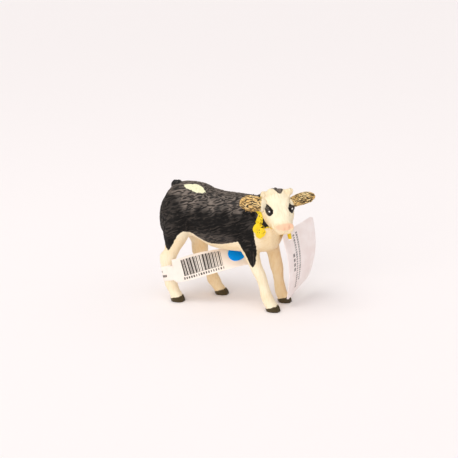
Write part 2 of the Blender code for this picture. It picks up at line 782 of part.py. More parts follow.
def label_edges():
    """The lower and the upper edge of the label, from the leg to its front end."""
    rows = curve_through(LABEL_SHARES, LABEL_STEPS, False)
    lower = []
    for along, across, drop, _, _ in rows:
        low = BELLY_HEIGHT - drop * LABEL_WIDTH
        lower.append(Vector((along * TRUNK_LENGTH, across * TRACK_WIDTH / 2, low)))
    upper = []
    for step, row in enumerate(rows):
        way = (lower[min(step + 1, len(rows) - 1)] - lower[max(step - 1, 0)]).normalized()
        # The narrow end by the leg stands upright.
        if row[3] < 1:
            way = Vector((1, 0, 0))
        lean = math.radians(row[4])
        rise = Vector((0, math.sin(lean), math.cos(lean)))
        rise = (rise - way * rise.dot(way)).normalized()
        upper.append(lower[step] + rise * row[3] * LABEL_WIDTH)
    return lower, upper


def leg_label(parts, cutters):
    """The printed label: a closed loop round the right hind leg and a flat panel in front of it."""
    lower, upper = label_edges()
    outward = [LABEL_OUTWARD] * len(lower)
    lines = strip_lines(lower, upper, LABEL_COLUMNS)
    made = ribbon("leg_label", lines, LABEL_THICKNESS, outward, parts)
    low = []
    high = []
    out = []
    middle, _, _ = leg_axis(RIGHT_HIND_SHARES, -1, LOOP_LEVEL_SHARE)
    for step in range(LOOP_POINTS):
        angle = 2 * math.pi * step / LOOP_POINTS
        way = Vector((math.cos(angle), math.sin(angle), 0))
        for sign, edge in ((-1, low), (1, high)):
            rise = LOOP_SLOPE_SHARE * way.x * LEG_THICKNESS / 2 + sign * LOOP_WIDTH / 2
            level = LOOP_LEVEL_SHARE + rise / BELLY_HEIGHT
            place, deep, wide = leg_axis(RIGHT_HIND_SHARES, -1, level)
            gap = LOOP_PLAY + PAPER / 2
            edge.append(place + Vector((way.x * (deep + gap), way.y * (wide + gap), 0)))
        out.append(way)
    loop = ribbon("loop", [low, high], PAPER, out, cutters, closed=True)
    carve(made, "UNION", [loop])
    return made


def price_dot(parts):
    """The round sticker, which follows the label's surface just in front of it."""
    lower, upper = label_edges()
    at = int(DOT_ROW_SHARE * LABEL_STEPS)
    unit = (lower[at + 1] - lower[at]).length
    inner = LABEL_THICKNESS / 2 + FIT
    rings = []
    middle = DOT_MIDDLE_SHARE
    for share, stand in ((middle, 0), (1, 0), (1, DOT_THICKNESS), (middle, DOT_THICKNESS)):
        ring = []
        for step in range(RING_SIDES):
            angle = 2 * math.pi * step / RING_SIDES
            row = DOT_ROW_SHARE * LABEL_STEPS + share * DOT_RADIUS * math.cos(angle) / unit
            near = int(math.floor(row))
            foot = lower[near].lerp(lower[near + 1], row - near)
            head = upper[near].lerp(upper[near + 1], row - near)
            before = facing(lower, upper, LABEL_OUTWARD, near)
            after = facing(lower, upper, LABEL_OUTWARD, near + 1)
            across = DOT_WIDTH_SHARE + share * DOT_RADIUS * math.sin(angle) / LABEL_WIDTH
            ring.append(foot.lerp(head, across) + before.lerp(after, row - near) * (inner + stand))
        rings.append(ring)
    return loft("price_dot", rings, parts)


def leaf_ways(down):
    """The ways across the leaf, down it and out of its front, at a share of its height."""
    run = Vector(LEAF_ACROSS_TOP).lerp(Vector(LEAF_ACROSS_LOW), down).normalized()
    drop = Vector(LEAF_DOWN).normalized()
    return run, drop, drop.cross(run).normalized()


def leaf_reach(across, down):
    """The way from the leaf's corner to a point of its middle surface, from shares of its sizes."""
    run, drop, out = leaf_ways(down)
    bow = math.sin(math.pi * down) * LEAF_BOW
    return run * across * LEAF_WIDTH + drop * down * LEAF_HEIGHT + out * bow


def leaf_point(across, down):
    """A point of the leaf's middle surface, with the slit where the strap comes through."""
    return body_place(*LEAF_PLACE_SHARES) + leaf_reach(across, down) - leaf_reach(*SLIT_SHARES)


def tag_leaf(parts, cutters):
    """The white leaf with round corners and a slit near its upper right corner."""
    rings = []
    for row in range(LEAF_ROWS + 1):
        down = (1 - math.cos(math.pi * row / LEAF_ROWS)) / 2
        short = max(LEAF_CORNER_RADIUS - min(down, 1 - down) * LEAF_HEIGHT, 0)
        inset = LEAF_CORNER_RADIUS - math.sqrt(LEAF_CORNER_RADIUS**2 - short**2)
        _, _, out = leaf_ways(down)
        front = []
        back = []
        for column in range(LEAF_COLUMNS + 1):
            share = column / LEAF_COLUMNS
            place = leaf_point((inset + share * (LEAF_WIDTH - 2 * inset)) / LEAF_WIDTH, down)
            front.append(place + out * PAPER / 2)
            back.append(place - out * PAPER / 2)
        rings.append(front + back[::-1])
    made = loft("tag_leaf", rings, parts)
    place, turn = slit_frame()
    half = Vector((TAB_WIDTH / 2 + FIT, TAB_THICKNESS / 2 + FIT, OVERRUN))
    carve(made, "DIFFERENCE", [block("slit", -half, half, cutters, turn, place)])
    return made


def slit_frame():
    """The middle of the slit, and a turn that sets X down the leaf, Y across it and Z out of it."""
    run, _, out = leaf_ways(SLIT_SHARES[1])
    turn = Matrix((run.cross(out), run, out)).transposed().to_4x4()
    return leaf_point(*SLIT_SHARES), turn


def tag_strap(skin, ears, parts, cutters):
    """The strap, a ribbon just clear of the skin and the ears, with a tab through the leaf's slit."""
    slit, turn = slit_frame()
    out = turn.to_3x3() @ Vector((0, 0, 1))
    rows = [(*body_place(*row[:3]), row[3]) for row in STRAP_SHARES]
    seat = slit - out * LEAF_STAND_OFF
    rows.insert(STRAP_SEAT_ROW, (*seat, rows[STRAP_SEAT_ROW][3]))
    path = curve_through(rows, STRAP_STEPS, True)
    distance = STRAP_PLAY + PAPER / 2
    spare = FIT + PAPER / 2
    lines = [[], [], []]
    outward = []
    for step, (x, y, z, width) in enumerate(path):
        place = Vector((x, y, z))
        way = Vector(path[(step + 1) % len(path)][:3]) - Vector(path[step - 1][:3])
        normal = skin.find_nearest(place)[1]
        half = normal.cross(way).normalized() * width * STRAP_WIDTH / 2
        for line, side in zip(lines, (-1, 0, 1)):
            spot = clear_of(skin, place + half * side, distance)
            for ear_skin in ears:
                spot = clear_of(ear_skin, spot, spare)
            line.append(spot)
        outward.append(normal)
    made = ribbon("tag_strap", lines, PAPER, outward, parts, closed=True)
    half = Vector((TAB_WIDTH / 2, TAB_THICKNESS / 2, 0))
    inner = -half - Vector((0, 0, LEAF_STAND_OFF))
    outer = half + Vector((0, 0, TAB_REACH))
    carve(made, "UNION", [block("tab", inner, outer, cutters, turn, slit)])
    return made


def shade(thing):
    look, colour, roughness = LOOKS[thing.name]
    thing.data.materials.clear()
    thing.data.materials.append(material(f"{thing.name}_{look}", colour, roughness))
    thing.data.shade_smooth()
    thing.data.set_sharp_from_angle(angle=SHARP_ANGLE)


def place_origin(thing, spot):
    """Moves the object's origin to a spot and leaves its shape where it is."""
    thing.data.transform(Matrix.Translation(-spot))
    thing.location = spot


def centre_all(things):
    """Moves every object so that the middle of the underside of their common box is the origin."""
    bpy.context.view_layer.update()
    corners = []
    for thing in things:
        corners += [thing.matrix_world @ vertex.co for vertex in thing.data.vertices]
    low = Vector([min(corner[axis] for corner in corners) for axis in range(3)])
    high = Vector([max(corner[axis] for corner in corners) for axis in range(3)])
    shift = Vector(((low.x + high.x) / 2, (low.y + high.y) / 2, low.z))
    for thing in things:
        thing.location -= shift


def tree_of(thing):
    """A search tree of the object's faces."""
    corners = [vertex.co.copy() for vertex in thing.data.vertices]
    faces = [tuple(face.vertices) for face in thing.data.polygons]
    return BVHTree.FromPolygons(corners, faces)


def main():
    clear_scene()
    parts = new_collection("calf_figure")
    cutters = new_collection("cutters", hidden=True)
    frame = head_frame()
    legs = (
        ("right_hind_leg", RIGHT_HIND_SHARES, -1, False),
        ("left_hind_leg", LEFT_HIND_SHARES, 1, False),
        ("right_front_leg", RIGHT_FRONT_SHARES, -1, True),
        ("left_front_leg", LEFT_FRONT_SHARES, 1, True),
    )
    forms = [trunk(cutters), neck_form(cutters)]
    forms += [leg_form(name, shares, hand, cutters) for name, shares, hand, _ in legs]
    forms += head_forms(frame, cutters)
    body = melt("torso", forms, parts)
    tree = tree_of(body)
    whole = copy_of(body, "whole", cutters)
    far = Vector((TRUNK_LENGTH, TRUNK_LENGTH, BELLY_HEIGHT - LEG_SEAM_DROP + FIT / 2))
    near = Vector((-TRUNK_LENGTH, -TRUNK_LENGTH, -OVERRUN))
    carve(body, "DIFFERENCE", [block("below", near, far, cutters)])
    head = part_skin(body, parts, cutters)
    made = [body, head]
    for name, shares, hand, front in legs:
        made.append(lower_leg(name, shares, hand, front, whole, body, parts, cutters))
    bpy.data.objects.remove(whole, do_unlink=True)
    right = (RIGHT_EAR_ROOT_SHARES, RIGHT_EAR_WAY, RIGHT_EAR_FACE)
    left = (LEFT_EAR_ROOT_SHARES, LEFT_EAR_WAY, LEFT_EAR_FACE)
    ears = [
        ear("right_ear", frame, right, head, parts, cutters),
        ear("left_ear", frame, left, head, parts, cutters),
    ]
    made += ears
    made.append(tail(body, parts, cutters))
    label = leg_label(parts, cutters)
    dot = price_dot(parts)
    leaf = tag_leaf(parts, cutters)
    strap = tag_strap(tree, [tree_of(item) for item in ears], parts, cutters)
    made += [label, dot, leaf, strap]
    for thing in made:
        shade(thing)
    low_end, _, _ = leg_axis(RIGHT_HIND_SHARES, -1, HINGE_LEVEL_SHARE)
    place_origin(label, low_end)
    place_origin(dot, low_end)
    place_origin(leaf, slit_frame()[0])
    centre_all(made)


main()
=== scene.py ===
"""Looks of a moulded toy calf with two tags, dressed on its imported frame.

The vinyl pieces are run together into one fine skin, sculpted with hair, eyes, nostrils and hooves,
painted, and parted again where the moulded pieces meet. The tags are paper, film and card with
printed bars and dashes. Lengths are metres in the frame: X to the calf's front, Y to its left.
Plain numbers that stand for places and sizes are millimetres, and those times MM are metres.
"""

import json
import math
from operator import itemgetter

import bmesh
import bpy
import numpy as np
from mathutils import Matrix, Vector
from mathutils.bvhtree import BVHTree


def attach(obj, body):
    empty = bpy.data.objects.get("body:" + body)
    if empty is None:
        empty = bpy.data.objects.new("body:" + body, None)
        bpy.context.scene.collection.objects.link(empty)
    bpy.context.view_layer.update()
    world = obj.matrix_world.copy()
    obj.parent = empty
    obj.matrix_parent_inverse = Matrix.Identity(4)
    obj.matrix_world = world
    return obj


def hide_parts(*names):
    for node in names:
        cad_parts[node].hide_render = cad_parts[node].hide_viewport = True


bl_info = {
    "name": "Toy calf looks",
    "version": (1, 0, 0),
    "blender": (4, 5, 0),
    "location": "3D View > Sidebar > Calf",
    "description": "Dresses a moulded toy calf and its tags",
    "category": "Object",
}

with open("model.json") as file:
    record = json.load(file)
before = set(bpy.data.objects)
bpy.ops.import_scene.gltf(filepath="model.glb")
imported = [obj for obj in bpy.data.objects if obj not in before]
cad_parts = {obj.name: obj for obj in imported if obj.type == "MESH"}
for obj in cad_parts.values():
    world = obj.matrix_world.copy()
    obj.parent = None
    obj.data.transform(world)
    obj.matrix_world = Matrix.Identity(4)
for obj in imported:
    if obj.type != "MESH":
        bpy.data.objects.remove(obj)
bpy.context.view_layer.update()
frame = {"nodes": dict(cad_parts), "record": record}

MM = 0.001
# A distance in millimetres for what lies nowhere near an outline.
FAR_OFF = 99.0

# The vinyl pieces that share one skin, the level where the legs begin, the line between right and
# left legs, and the plane through the neck as a place and a way.
SKIN_NODES = (
    "torso",
    "head",
    "right_front_leg",
    "left_front_leg",
    "right_hind_leg",
    "left_hind_leg",
)
LEG_SEAM = 27.0 * MM
LEG_PARTING = -3.0 * MM
NECK_SEAM = (Vector((15.98, -5.86, 51.15)) * MM, Vector((0.70, -0.45, 0.55)).normalized())

# The head's own frame: X from the poll to the muzzle, Y to its left, Z out of the forehead.
HEAD_PLACE = Vector((22.08, -8.0, 61.94)) * MM
HEAD_TURNS = (("Z", -55.4), ("Y", 41.8), ("X", 6.6))

# Below the tail's root the rump dips, and the far hind leg has a full fetlock.
RUMP_DIP = (-36.2, -1.5, 56.0)
RUMP_DIP_WIDTH = 2.8
FAR_FETLOCK = (-17.2, 6.0, 6.8)
# The middle of the bend at the root of the tail.
TAIL_KNOB = (-34.0, -1.2, 58.0)
# How far the hooves reach round a sole's middle, the coronet's height and its rise to the toe.
HOOF_REACH = 7.0
HOOF_TOP = 2.6
HOOF_RISE = 0.28

# Grid, closing and smoothing passes of the tail and of an ear, and the depth, width and length of
# the hair on them. The tail's hair is as long as the body's.
TAIL_MELT = (0.24 * MM, 0.25 * MM, 6)
TAIL_HAIR = (0.14 * MM, 0.8 * MM)
EAR_MELT = (0.14 * MM, 0.25 * MM, 8)
EAR_HAIR = (0.09 * MM, 0.42 * MM, 1.7 * MM)

# The camera of the photograph.
CAMERA_PLACE = Vector((206.08, -580.62, 214.14)) * MM
CAMERA_AZIMUTH = math.radians(20)
CAMERA_ELEVATION = math.radians(16)
CAMERA_LENS = 100

# Paint outlines in millimetres. Sides are seen from the side, as X and Z, and the top from above.
NEAR_COAT = (
    (-45.0, 70.0), (-45.0, 34.0), (-34.6, 30.4), (-31.9, 27.4), (-30.0, 29.6), (-28.4, 33.0),
    (-26.4, 36.2), (-24.0, 38.0), (-21.6, 37.2), (-17.8, 34.8), (-14.2, 33.3), (-10.0, 32.5),
    (-5.0, 32.9), (0.0, 34.0), (4.6, 35.4), (6.4, 32.6), (8.1, 30.0), (9.6, 26.8), (10.8, 24.0),
    (12.4, 22.6), (13.6, 24.6), (13.9, 30.0), (13.4, 36.0), (13.0, 42.0), (14.6, 50.0),
    (14.4, 70.0),
)
FAR_COAT = (
    (-45.0, 70.0), (-45.0, 36.0), (-33.0, 30.0), (-25.0, 33.0), (-19.0, 38.5), (-11.0, 37.5),
    (-4.0, 34.5), (4.0, 35.5), (9.0, 31.0), (13.0, 28.5), (17.0, 34.0), (18.5, 45.0), (17.0, 70.0),
)
RUMP_PATCH = (
    (-26.6, -7.2), (-23.6, -6.2), (-19.6, -5.6), (-16.2, -6.8), (-14.4, -8.4), (-15.6, -9.8),
    (-18.2, -10.4), (-21.4, -10.0), (-24.4, -9.8), (-25.6, -8.6),
)
# Outlines on the head, as along and across or out in its own frame.
POLL_PATCH = ((-4.0, -2.2), (-0.6, -2.2), (2.9, 1.0), (2.5, 2.2), (0.4, 3.4), (-4.0, 3.4))
THROAT_PATCH = ((8.6, -8.0), (10.6, -8.6), (13.8, -11.4), (13.8, -13.0), (11.8, -12.2), (10.2, -11.4))
EYE_OUTLINE = (
    (-5.8, -2.3), (-5.4, -0.9), (-3.6, 0.4), (-1.6, 1.5), (0.2, 2.1), (1.7, 1.5), (2.2, 0.0),
    (1.8, -1.2), (0.5, -1.9), (-1.5, -2.2), (-3.6, -2.5),
)
EYE_PLACE = (10.9, 5.4, -2.2)
EYE_LEAN = math.radians(39)
GLINT_PLACE = (0.6, 0.45)
GLINT_RADIUS = 0.32
NOSTRIL_PLACE = (21.6, 2.5, -1.5)
MUZZLE_EDGE = 19.9
MUZZLE_FOOT = -1.8
MOUTH_LEVEL = -5.2

# The ears in the head's frame: the root, the way each runs, the way it faces, how much it
# is broadened, from where along it, and how far the cream of the face reaches along it.
EARS = {
    "right_ear": ((5.7, -7.4, -3.9), (-0.27, -0.96, 0.0), (0.86, 0.0, -0.51), 0.15, 2.5, 1.4),
    "left_ear": ((6.6, 7.4, -3.1), (-0.20, 0.96, 0.0), (0.96, 0.0, 0.28), 0.45, -2.0, -0.4),
}
EAR_LENGTH = 11.6
EAR_HALF_WIDTH = 4.3

# The label's lower edge from the hind leg to its front end: X, Y, Z, width and lean in degrees.
LABEL_ROWS = (
    (-32.7, -15.8, 11.2, 7.6, 0),
    (-30.0, -15.7, 11.7, 7.6, 0),
    (-29.4, -15.5, 11.8, 7.6, 0),
    (-27.7, -15.3, 10.7, 12.3, -1.5),
    (-22.7, -14.8, 11.9, 12.3, 3),
    (-17.7, -14.1, 13.6, 12.3, 12),
    (-12.7, -13.0, 15.4, 12.3, 24),
    (-8.0, -11.7, 17.0, 12.3, 33),
    (-3.5, -10.2, 18.5, 12.3, 42),
    (1.0, -8.6, 19.9, 12.3, 50),
    (4.5, -7.2, 20.8, 12.3, 58),
    (7.0, -6.4, 21.3, 12.3, 62),
    (9.2, -5.7, 21.6, 12.3, 66),
)
# The middle of the leg at the loop's level, the loop's width and its slope to the front.
LOOP_MIDDLE = (-33.4, -12.2, 15.0)
LOOP_WIDTH = 7.6
LOOP_SLOPE = 0.33
LOOP_PRINT = math.radians(224)
# The loop's radius for its print, half the leg's section from front to back, how far the leg leans
# back as it rises, and how far the paper stands off it.
LOOP_RADIUS = 4.1
LEG_HALF = 3.3
LEG_LEAN = 0.17
LOOP_OFF = 0.4
# The round sticker: its middle along and up the label, where the label's edge cuts it, how much
# narrower and taller it is than round, its sides, and its layers as shares of the radius and levels.
DOT_PLACE = 38.3
DOT_ACROSS = 8.0
DOT_CUT = 12.1
DOT_FIT = (0.2, 0.3)
DOT_SIDES = 64
DOT_LAYERS = ((0.1, 0), (0.5, 0), (1, 0), (1, 0.06), (0.96, 0.09), (0.5, 0.09), (0.1, 0.09))

# Rows of print: start, middle, count, pitch, height, and the narrowest and widest mark as shares
# of the pitch. The bars are two rows of one pitch, broad ones and thin ones between them.
BAR_MIDDLE = 6.9
BAR_HEIGHT = 8.4
BAR_RUN = 21.4
BAR_ROWS = ((10.8, 0.22, 0.55), (11.6, 0.06, 0.2))
LABEL_DASHES = ((10.2, 1.5, 17, 1.3, 1.15, 0.25, 0.6),)
LOOP_DASHES = ((0.3, -1.3, 4, 0.9, 1.2, 0.45, 0.8), (0.2, 1.1, 1, 0.9, 0.9, 0.4, 0.6))
LEAF_DASHES = (
    (13.0, 5.7, 4, 2.5, 1.5, 0.45, 0.7),
    (3.5, 8.2, 23, 1.25, 1.4, 0.35, 0.75),
    (3.0, 10.9, 21, 1.25, 1.3, 0.35, 0.75),
)
PRINT_THICK = 0.05
PRINT_RISE = 0.035
FIRST_SEED = 3

# The strap's route from under the right ear, down, round the chest, over the neck and back:
# X, Y, Z and width.
STRAP_ROWS = (
    (16.0, -12.9, 49.5, 2.4),
    (15.5, -13.4, 47.2, 3.1),
    (14.8, -14.0, 44.2, 3.7),
    (14.4, -14.2, 42.2, 3.6),
    (15.4, -13.9, 41.2, 1.6),
    (17.0, -13.1, 42.2, 0.6),
    (19.0, -12.2, 43.5, 0.5),
    (21.0, -10.6, 44.4, 0.5),
    (22.8, -8.0, 43.2, 1.0),
    (23.6, -4.8, 40.4, 1.6),
    (23.9, -1.6, 37.4, 2.0),
    (24.0, 0.3, 36.7, 2.0),
    (23.5, 3.2, 38.8, 2.0),
    (23.5, 2.6, 42.0, 2.0),
    (23.8, 0.6, 46.0, 2.0),
    (24.0, 0.1, 50.0, 2.0),
    (23.4, 0.1, 53.3, 2.0),
    (21.6, -1.4, 57.3, 1.6),
    (19.4, -4.0, 58.6, 1.3),
    (17.6, -6.6, 58.2, 1.2),
    (16.0, -8.9, 57.0, 1.2),
    (14.6, -10.4, 55.6, 1.4),
    (13.2, -11.3, 53.9, 1.6),
    (13.4, -12.1, 52.3, 1.9),
    (15.1, -12.7, 50.9, 2.3),
)
# The strap's spread end below the ear: its middle and its reach along and across.
FLAP_PLACE = (16.0, -13.8, 40.8)
FLAP_WAY = Vector((0.42, -0.88, 0.22)).normalized()
FLAP_REACH = (2.6, 2.7)
# How far the strap stays off the skin, and how far the flap may lie behind its flat place.
STRAP_CLEAR = 0.32 * MM
FLAP_DEEPEST = 1.2 * MM
# The strap's folded end: its height, its width and its length through the slit, how far its middle
# lies behind the card, and its rounding.
TAB_SIZE = Vector((3.3, 1.1, 3.9)) * MM
TAB_BACK = 1.0
TAB_EDGE = 0.3 * MM

# The leaf: the middle of its slit, its ways across at the top and the foot, and its way down.
LEAF_SLIT = (26.88, -0.58, 36.75)
LEAF_ACROSS_TOP = Vector((0.30, 0.945, 0.15))
LEAF_ACROSS_LOW = Vector((0.14, 0.966, 0.215))
LEAF_DOWN = Vector((0.067, 0.043, -0.997)).normalized()
LEAF_SIZE = (27.0, 35.0)
LEAF_BOW = 2.8
LEAF_CORNER = 2.0
SLIT_AT = (5.4, 2.6)
SLIT_HALF = (0.9, 2.0)
LEAF_GRID = (28, 36)

# The share of a sheet's thickness that rounds its edges, and what counts as an edge.
SHEET_ROUNDING = 0.3
CARD_ROUNDING = 0.25
SHARP_EDGE = math.radians(50)

# The eyes' colours, both greys of the grey print, and the second colour that each other finish is
# mottled or shaded with.
PUPIL = "#15100E"
IRIS = "#3A322D"
GLINT = "#F4EEE8"
EAR_PALE = "#FFE2A6"
PAPER_TINT = "#F7E9DD"
CARD_TINT = "#F8E9E5"
GREY_PRINT = ("#6F6866", "#B9B0AE")
DOT_PALE = "#0A9CFF"
FILM_SHADE = "#F2C614"

# What the lamps shine at, where each one stands, or for a sun where its light comes from, how
# wide the suns look, how wide the softbox is, and the floor's radius in metres.
LAMP_AIM = Vector((0, 0, 0.03))
KEY_PLACE = Vector((-0.30, -0.42, 0.95))
KEY_SPREAD = math.radians(34)
FRONT_PLACE = Vector((-0.1, -0.95, 0.3))
FRONT_SPREAD = math.radians(50)
TOP_PLACE = Vector((-0.1, -0.1, 0.6))
TOP_SIZE = 0.5
FLOOR_RADIUS = 6


def linear(text):
    """The linear colour of an sRGB hex value."""
    parts = [int(text[start : start + 2], 16) / 255 for start in (1, 3, 5)]
    return [part / 12.92 if part <= 0.04045 else ((part + 0.055) / 1.055) ** 2.4 for part in parts]


def colour_of(name, text, description):
    return bpy.props.FloatVectorProperty(
        name=name, description=description, subtype="COLOR", size=3, min=0, max=1, default=linear(text)
    )


def length_of(name, millimetres, description):
    return bpy.props.FloatProperty(
        name=name, description=description, unit="LENGTH", precision=5, default=millimetres * MM
    )


def number_of(name, value, description, unit="NONE"):
    return bpy.props.FloatProperty(name=name, description=description, unit=unit, default=value)


class CalfSkinProps(bpy.types.PropertyGroup):
    """Sizes and paint colours of the vinyl figure."""

    grid: length_of("Grid", 0.27, "Spacing of the skin's points")
    closing: length_of("Closing", 0.3, "How far joints are closed before the skin is run together")
    hair_depth: length_of("Hair depth", 0.19, "How far the moulded hair stands out")
    hair_width: length_of("Hair width", 0.62, "Spacing of the moulded hair strokes")
    hair_length: length_of("Hair length", 5.4, "Length of the moulded hair strokes")
    black: colour_of("Black", "#151312", "Black of the coat")
    # A grey laid on the raised hair, which also stands for the coat's sheen as a painted highlight.
    brushed_sheen: colour_of("Brushed", "#83766C", "Dry-brushed colour on the raised hair")
    cream: colour_of("Cream", "#F9EACC", "Cream of the legs, chest and face")
    # The yellow-brown painted on the cream as shade.
    painted_shade: colour_of("Ochre", "#E6C184", "Airbrushed shade on the cream")
    patch: colour_of("Patch", "#F4F0CB", "Pale patch on the rump")
    pink: colour_of("Pink", "#F8C6A4", "Muzzle")
    hoof: colour_of("Hoof", "#483B22", "Hooves")
    ear: colour_of("Ear", "#EBBC70", "Tan of the ears")
    ear_hair: colour_of("Ear hair", "#3C290C", "Hair strokes in the ears")


class CalfTagProps(bpy.types.PropertyGroup):
    """Sizes and colours of the two tags."""

    paper_thickness: length_of("Paper", 0.22, "Thickness of the label's paper")
    card_thickness: length_of("Card", 0.34, "Thickness of the leaf's card")
    film_thickness: length_of("Film", 0.24, "Thickness of the strap")
    bar_pitch: length_of("Bar pitch", 1.6, "Spacing of the printed bars")
    dot_radius: length_of("Dot radius", 4.1, "Radius of the round sticker")
    label: colour_of("Label", "#FBEFE4", "Paper of the label")
    leaf: colour_of("Leaf", "#FFF4F1", "Card of the leaf")
    ink: colour_of("Ink", "#33291F", "Printed bars and dashes")
    dot: colour_of("Dot", "#009BFF", "Round sticker")
    film: colour_of("Strap", "#FBE019", "Strap film")
    speck: colour_of("Speck", "#5A4A12", "Specks on the strap")


class CalfStageProps(bpy.types.PropertyGroup):
    """Floor, lamps and lens."""

    floor: colour_of("Floor", "#FBF4F3", "Floor paper")
    sky: colour_of("Surround", "#FBF3F4", "What the camera sees past the floor")
    key: number_of("Key", 0.75, "Strength of the large soft key light")
    front: number_of("Front", 0.95, "Strength of the soft light by the camera")
    top_power: number_of("Top", 0.35, "Softbox overhead", "POWER")
    fill: number_of("Fill", 0.68, "Even light from all round")
    gloss: number_of("Gloss", 0.25, "Brightness mirrored in gloss")
    lens: number_of("Lens", CAMERA_LENS, "Focal length in millimetres")


def skin_props():
    return bpy.context.scene.calf_skin


def tag_props():
    return bpy.context.scene.calf_tags


def add(tree, kind, inputs=None, **settings):
    """Adds a node with its settings. Each input takes a value or the socket that feeds it."""
    made = tree.nodes.new(kind)
    for name, value in settings.items():
        setattr(made, name, value)
    for key, value in (inputs or {}).items():
        if isinstance(value, bpy.types.NodeSocket):
            tree.links.new(value, made.inputs[key])
        else:
            made.inputs[key].default_value = value
    return made


def mix(tree, factor, first, second):
    """The colour between two, where each is a colour or a socket."""
    inputs = {0: factor}
    for key, value in ((6, first), (7, second)):
        inputs[key] = value if isinstance(value, bpy.types.NodeSocket) else (*value, 1)
    return add(tree, "ShaderNodeMix", inputs, data_type="RGBA").outputs[2]


def ease(tree, value, low, high, start=0.0, end=1.0):
    """A smooth step of a value from low to high."""
    inputs = {"Value": value, 1: low, 2: high, 3: start, 4: end}
    return add(tree, "ShaderNodeMapRange", inputs, interpolation_type="SMOOTHSTEP").outputs[0]


def attribute(tree, name):
    return add(tree, "ShaderNodeAttribute", attribute_name=name).outputs["Fac"]


def arithmetic(tree, operation, first, second):
    return add(tree, "ShaderNodeMath", {0: first, 1: second}, operation=operation).outputs[0]


def times(tree, first, second):
    return arithmetic(tree, "MULTIPLY", first, second)


def plus(tree, first, second):
    return arithmetic(tree, "ADD", first, second)


def minus(tree, first, second):
    return arithmetic(tree, "SUBTRACT", first, second)


def vector_math(tree, operation, first, second):
    """Vector arithmetic. The second is a vector, or for SCALE a number."""
    key = "Scale" if operation == "SCALE" else 1
    return add(tree, "ShaderNodeVectorMath", {0: first, key: second}, operation=operation).outputs[0]


def combine(tree, x, y, z):
    return add(tree, "ShaderNodeCombineXYZ", {0: x, 1: y, 2: z}).outputs[0]


def colour_by(tree, shader, colour):
    tree.links.new(colour, shader.inputs["Base Color"])


def noise(tree, vector, size, detail=2.0, stretch=(1, 1, 1)):
    """Noise whose grains are about a size in metres, stretched along the axes."""
    scale = [1 / (size * part) for part in stretch]
    moved = add(tree, "ShaderNodeMapping", {"Vector": vector, "Scale": scale}).outputs[0]
    inputs = {"Vector": moved, "Scale": 1.0, "Detail": detail}
    return add(tree, "ShaderNodeTexNoise", inputs).outputs["Fac"]


def material(name, roughness):
    """A new material and its tree, shader and object coordinates."""
    made = bpy.data.materials.new(name)
    made.use_nodes = True
    tree = made.node_tree
    shader = tree.nodes["Principled BSDF"]
    shader.inputs["Roughness"].default_value = roughness
    place = add(tree, "ShaderNodeTexCoord").outputs["Object"]
    return made, tree, shader, place


def raise_surface(tree, shader, height, distance, strength=1.0):
    """Bumps the surface by a height, at its real depth."""
    inputs = {"Height": height, "Distance": distance, "Strength": strength}
    tree.links.new(add(tree, "ShaderNodeBump", inputs).outputs[0], shader.inputs["Normal"])


def painted_vinyl():
    """Painted vinyl: soft PVC, sprayed matt, with painted shade on the cream, painted sheen on the hair
    strokes and glossy eyes.
    """
    props = skin_props()
    made, tree, shader, place = material("painted_vinyl", 0.5)
    wobble = minus(tree, noise(tree, place, 1.3 * MM), 0.5)
    wobble = times(tree, wobble, 0.9)
    hair = attribute(tree, "hair")
    # Shade is painted into the hollows between the moulded hair, and the painted shade and sheen vary in
    # soft patches.
    cloud = noise(tree, place, 7 * MM)
    hollow_shade = ease(tree, hair, 0.1, -0.9)
    shade = plus(tree, attribute(tree, "shade"), times(tree, hollow_shade, 0.16))
    shade = times(tree, shade, ease(tree, cloud, 0.2, 0.75, 0.7, 1.15))
    colour = mix(tree, shade, props.cream, props.painted_shade)
    # A lighter grey paints sheen on the coat, most on raised strokes and least between them.
    raised = times(tree, ease(tree, hair, -0.8, 0.9, 0.1, 1.1), attribute(tree, "brush"))
    raised = times(tree, raised, ease(tree, cloud, 0.25, 0.75, 0.7, 1.1))
    # A painted highlight also lies on the highest strokes everywhere.
    raised = arithmetic(tree, "MAXIMUM", raised, ease(tree, hair, 0.6, 1.0, 0.0, 0.14))
    coat = mix(tree, raised, props.black, props.brushed_sheen)
    edge = plus(tree, attribute(tree, "patch"), wobble)
    coat = mix(tree, ease(tree, edge, 0.15, -0.15), coat, props.patch)
    edge = plus(tree, attribute(tree, "coat"), wobble)
    black = ease(tree, edge, 0.16, -0.16)
    colour = mix(tree, black, colour, coat)
    pink = attribute(tree, "muzzle")
    colour = mix(tree, ease(tree, plus(tree, pink, wobble), 0.7, -0.5), colour, props.pink)
    hoof = ease(tree, plus(tree, attribute(tree, "hoof"), wobble), 0.2, -0.2)
    colour = mix(tree, hoof, colour, props.hoof)
    eye = ease(tree, attribute(tree, "eye"), 0.14, -0.14)
    iris = ease(tree, attribute(tree, "eye"), -0.5, -1.1)
    colour = mix(tree, eye, colour, mix(tree, iris, linear(PUPIL), linear(IRIS)))
    # Each eye carries a painted glint, a white highlight.
    colour = mix(tree, ease(tree, attribute(tree, "glint"), 0.1, -0.1), colour, linear(GLINT))
    colour_by(tree, shader, colour)
    # Eyes are lacquered, hooves have a satin coat, the rest is matt.
    rough = ease(tree, cloud, 0.3, 0.7, 0.42, 0.52)
    rough = minus(tree, rough, times(tree, eye, 0.32))
    rough = minus(tree, rough, times(tree, hoof, 0.12))
    tree.links.new(rough, shader.inputs["Roughness"])
    # The coat is dullest where no sheen is painted on the black.
    bare = times(tree, black, ease(tree, attribute(tree, "brush"), 0.02, 0.4, 0.16, 0.0))
    tree.links.new(minus(tree, 0.3, bare), shader.inputs["Specular IOR Level"])
    # Fine hairs about 0.4 mm apart lie between the sculpted strokes.
    flow = add(tree, "ShaderNodeAttribute", attribute_name="flow").outputs["Vector"]
    fine = noise(tree, flow, 0.42, 3.0, (5, 1, 1))
    fine = times(tree, fine, attribute(tree, "fur"))
    raise_surface(tree, shader, fine, 0.2 * MM)
    return made


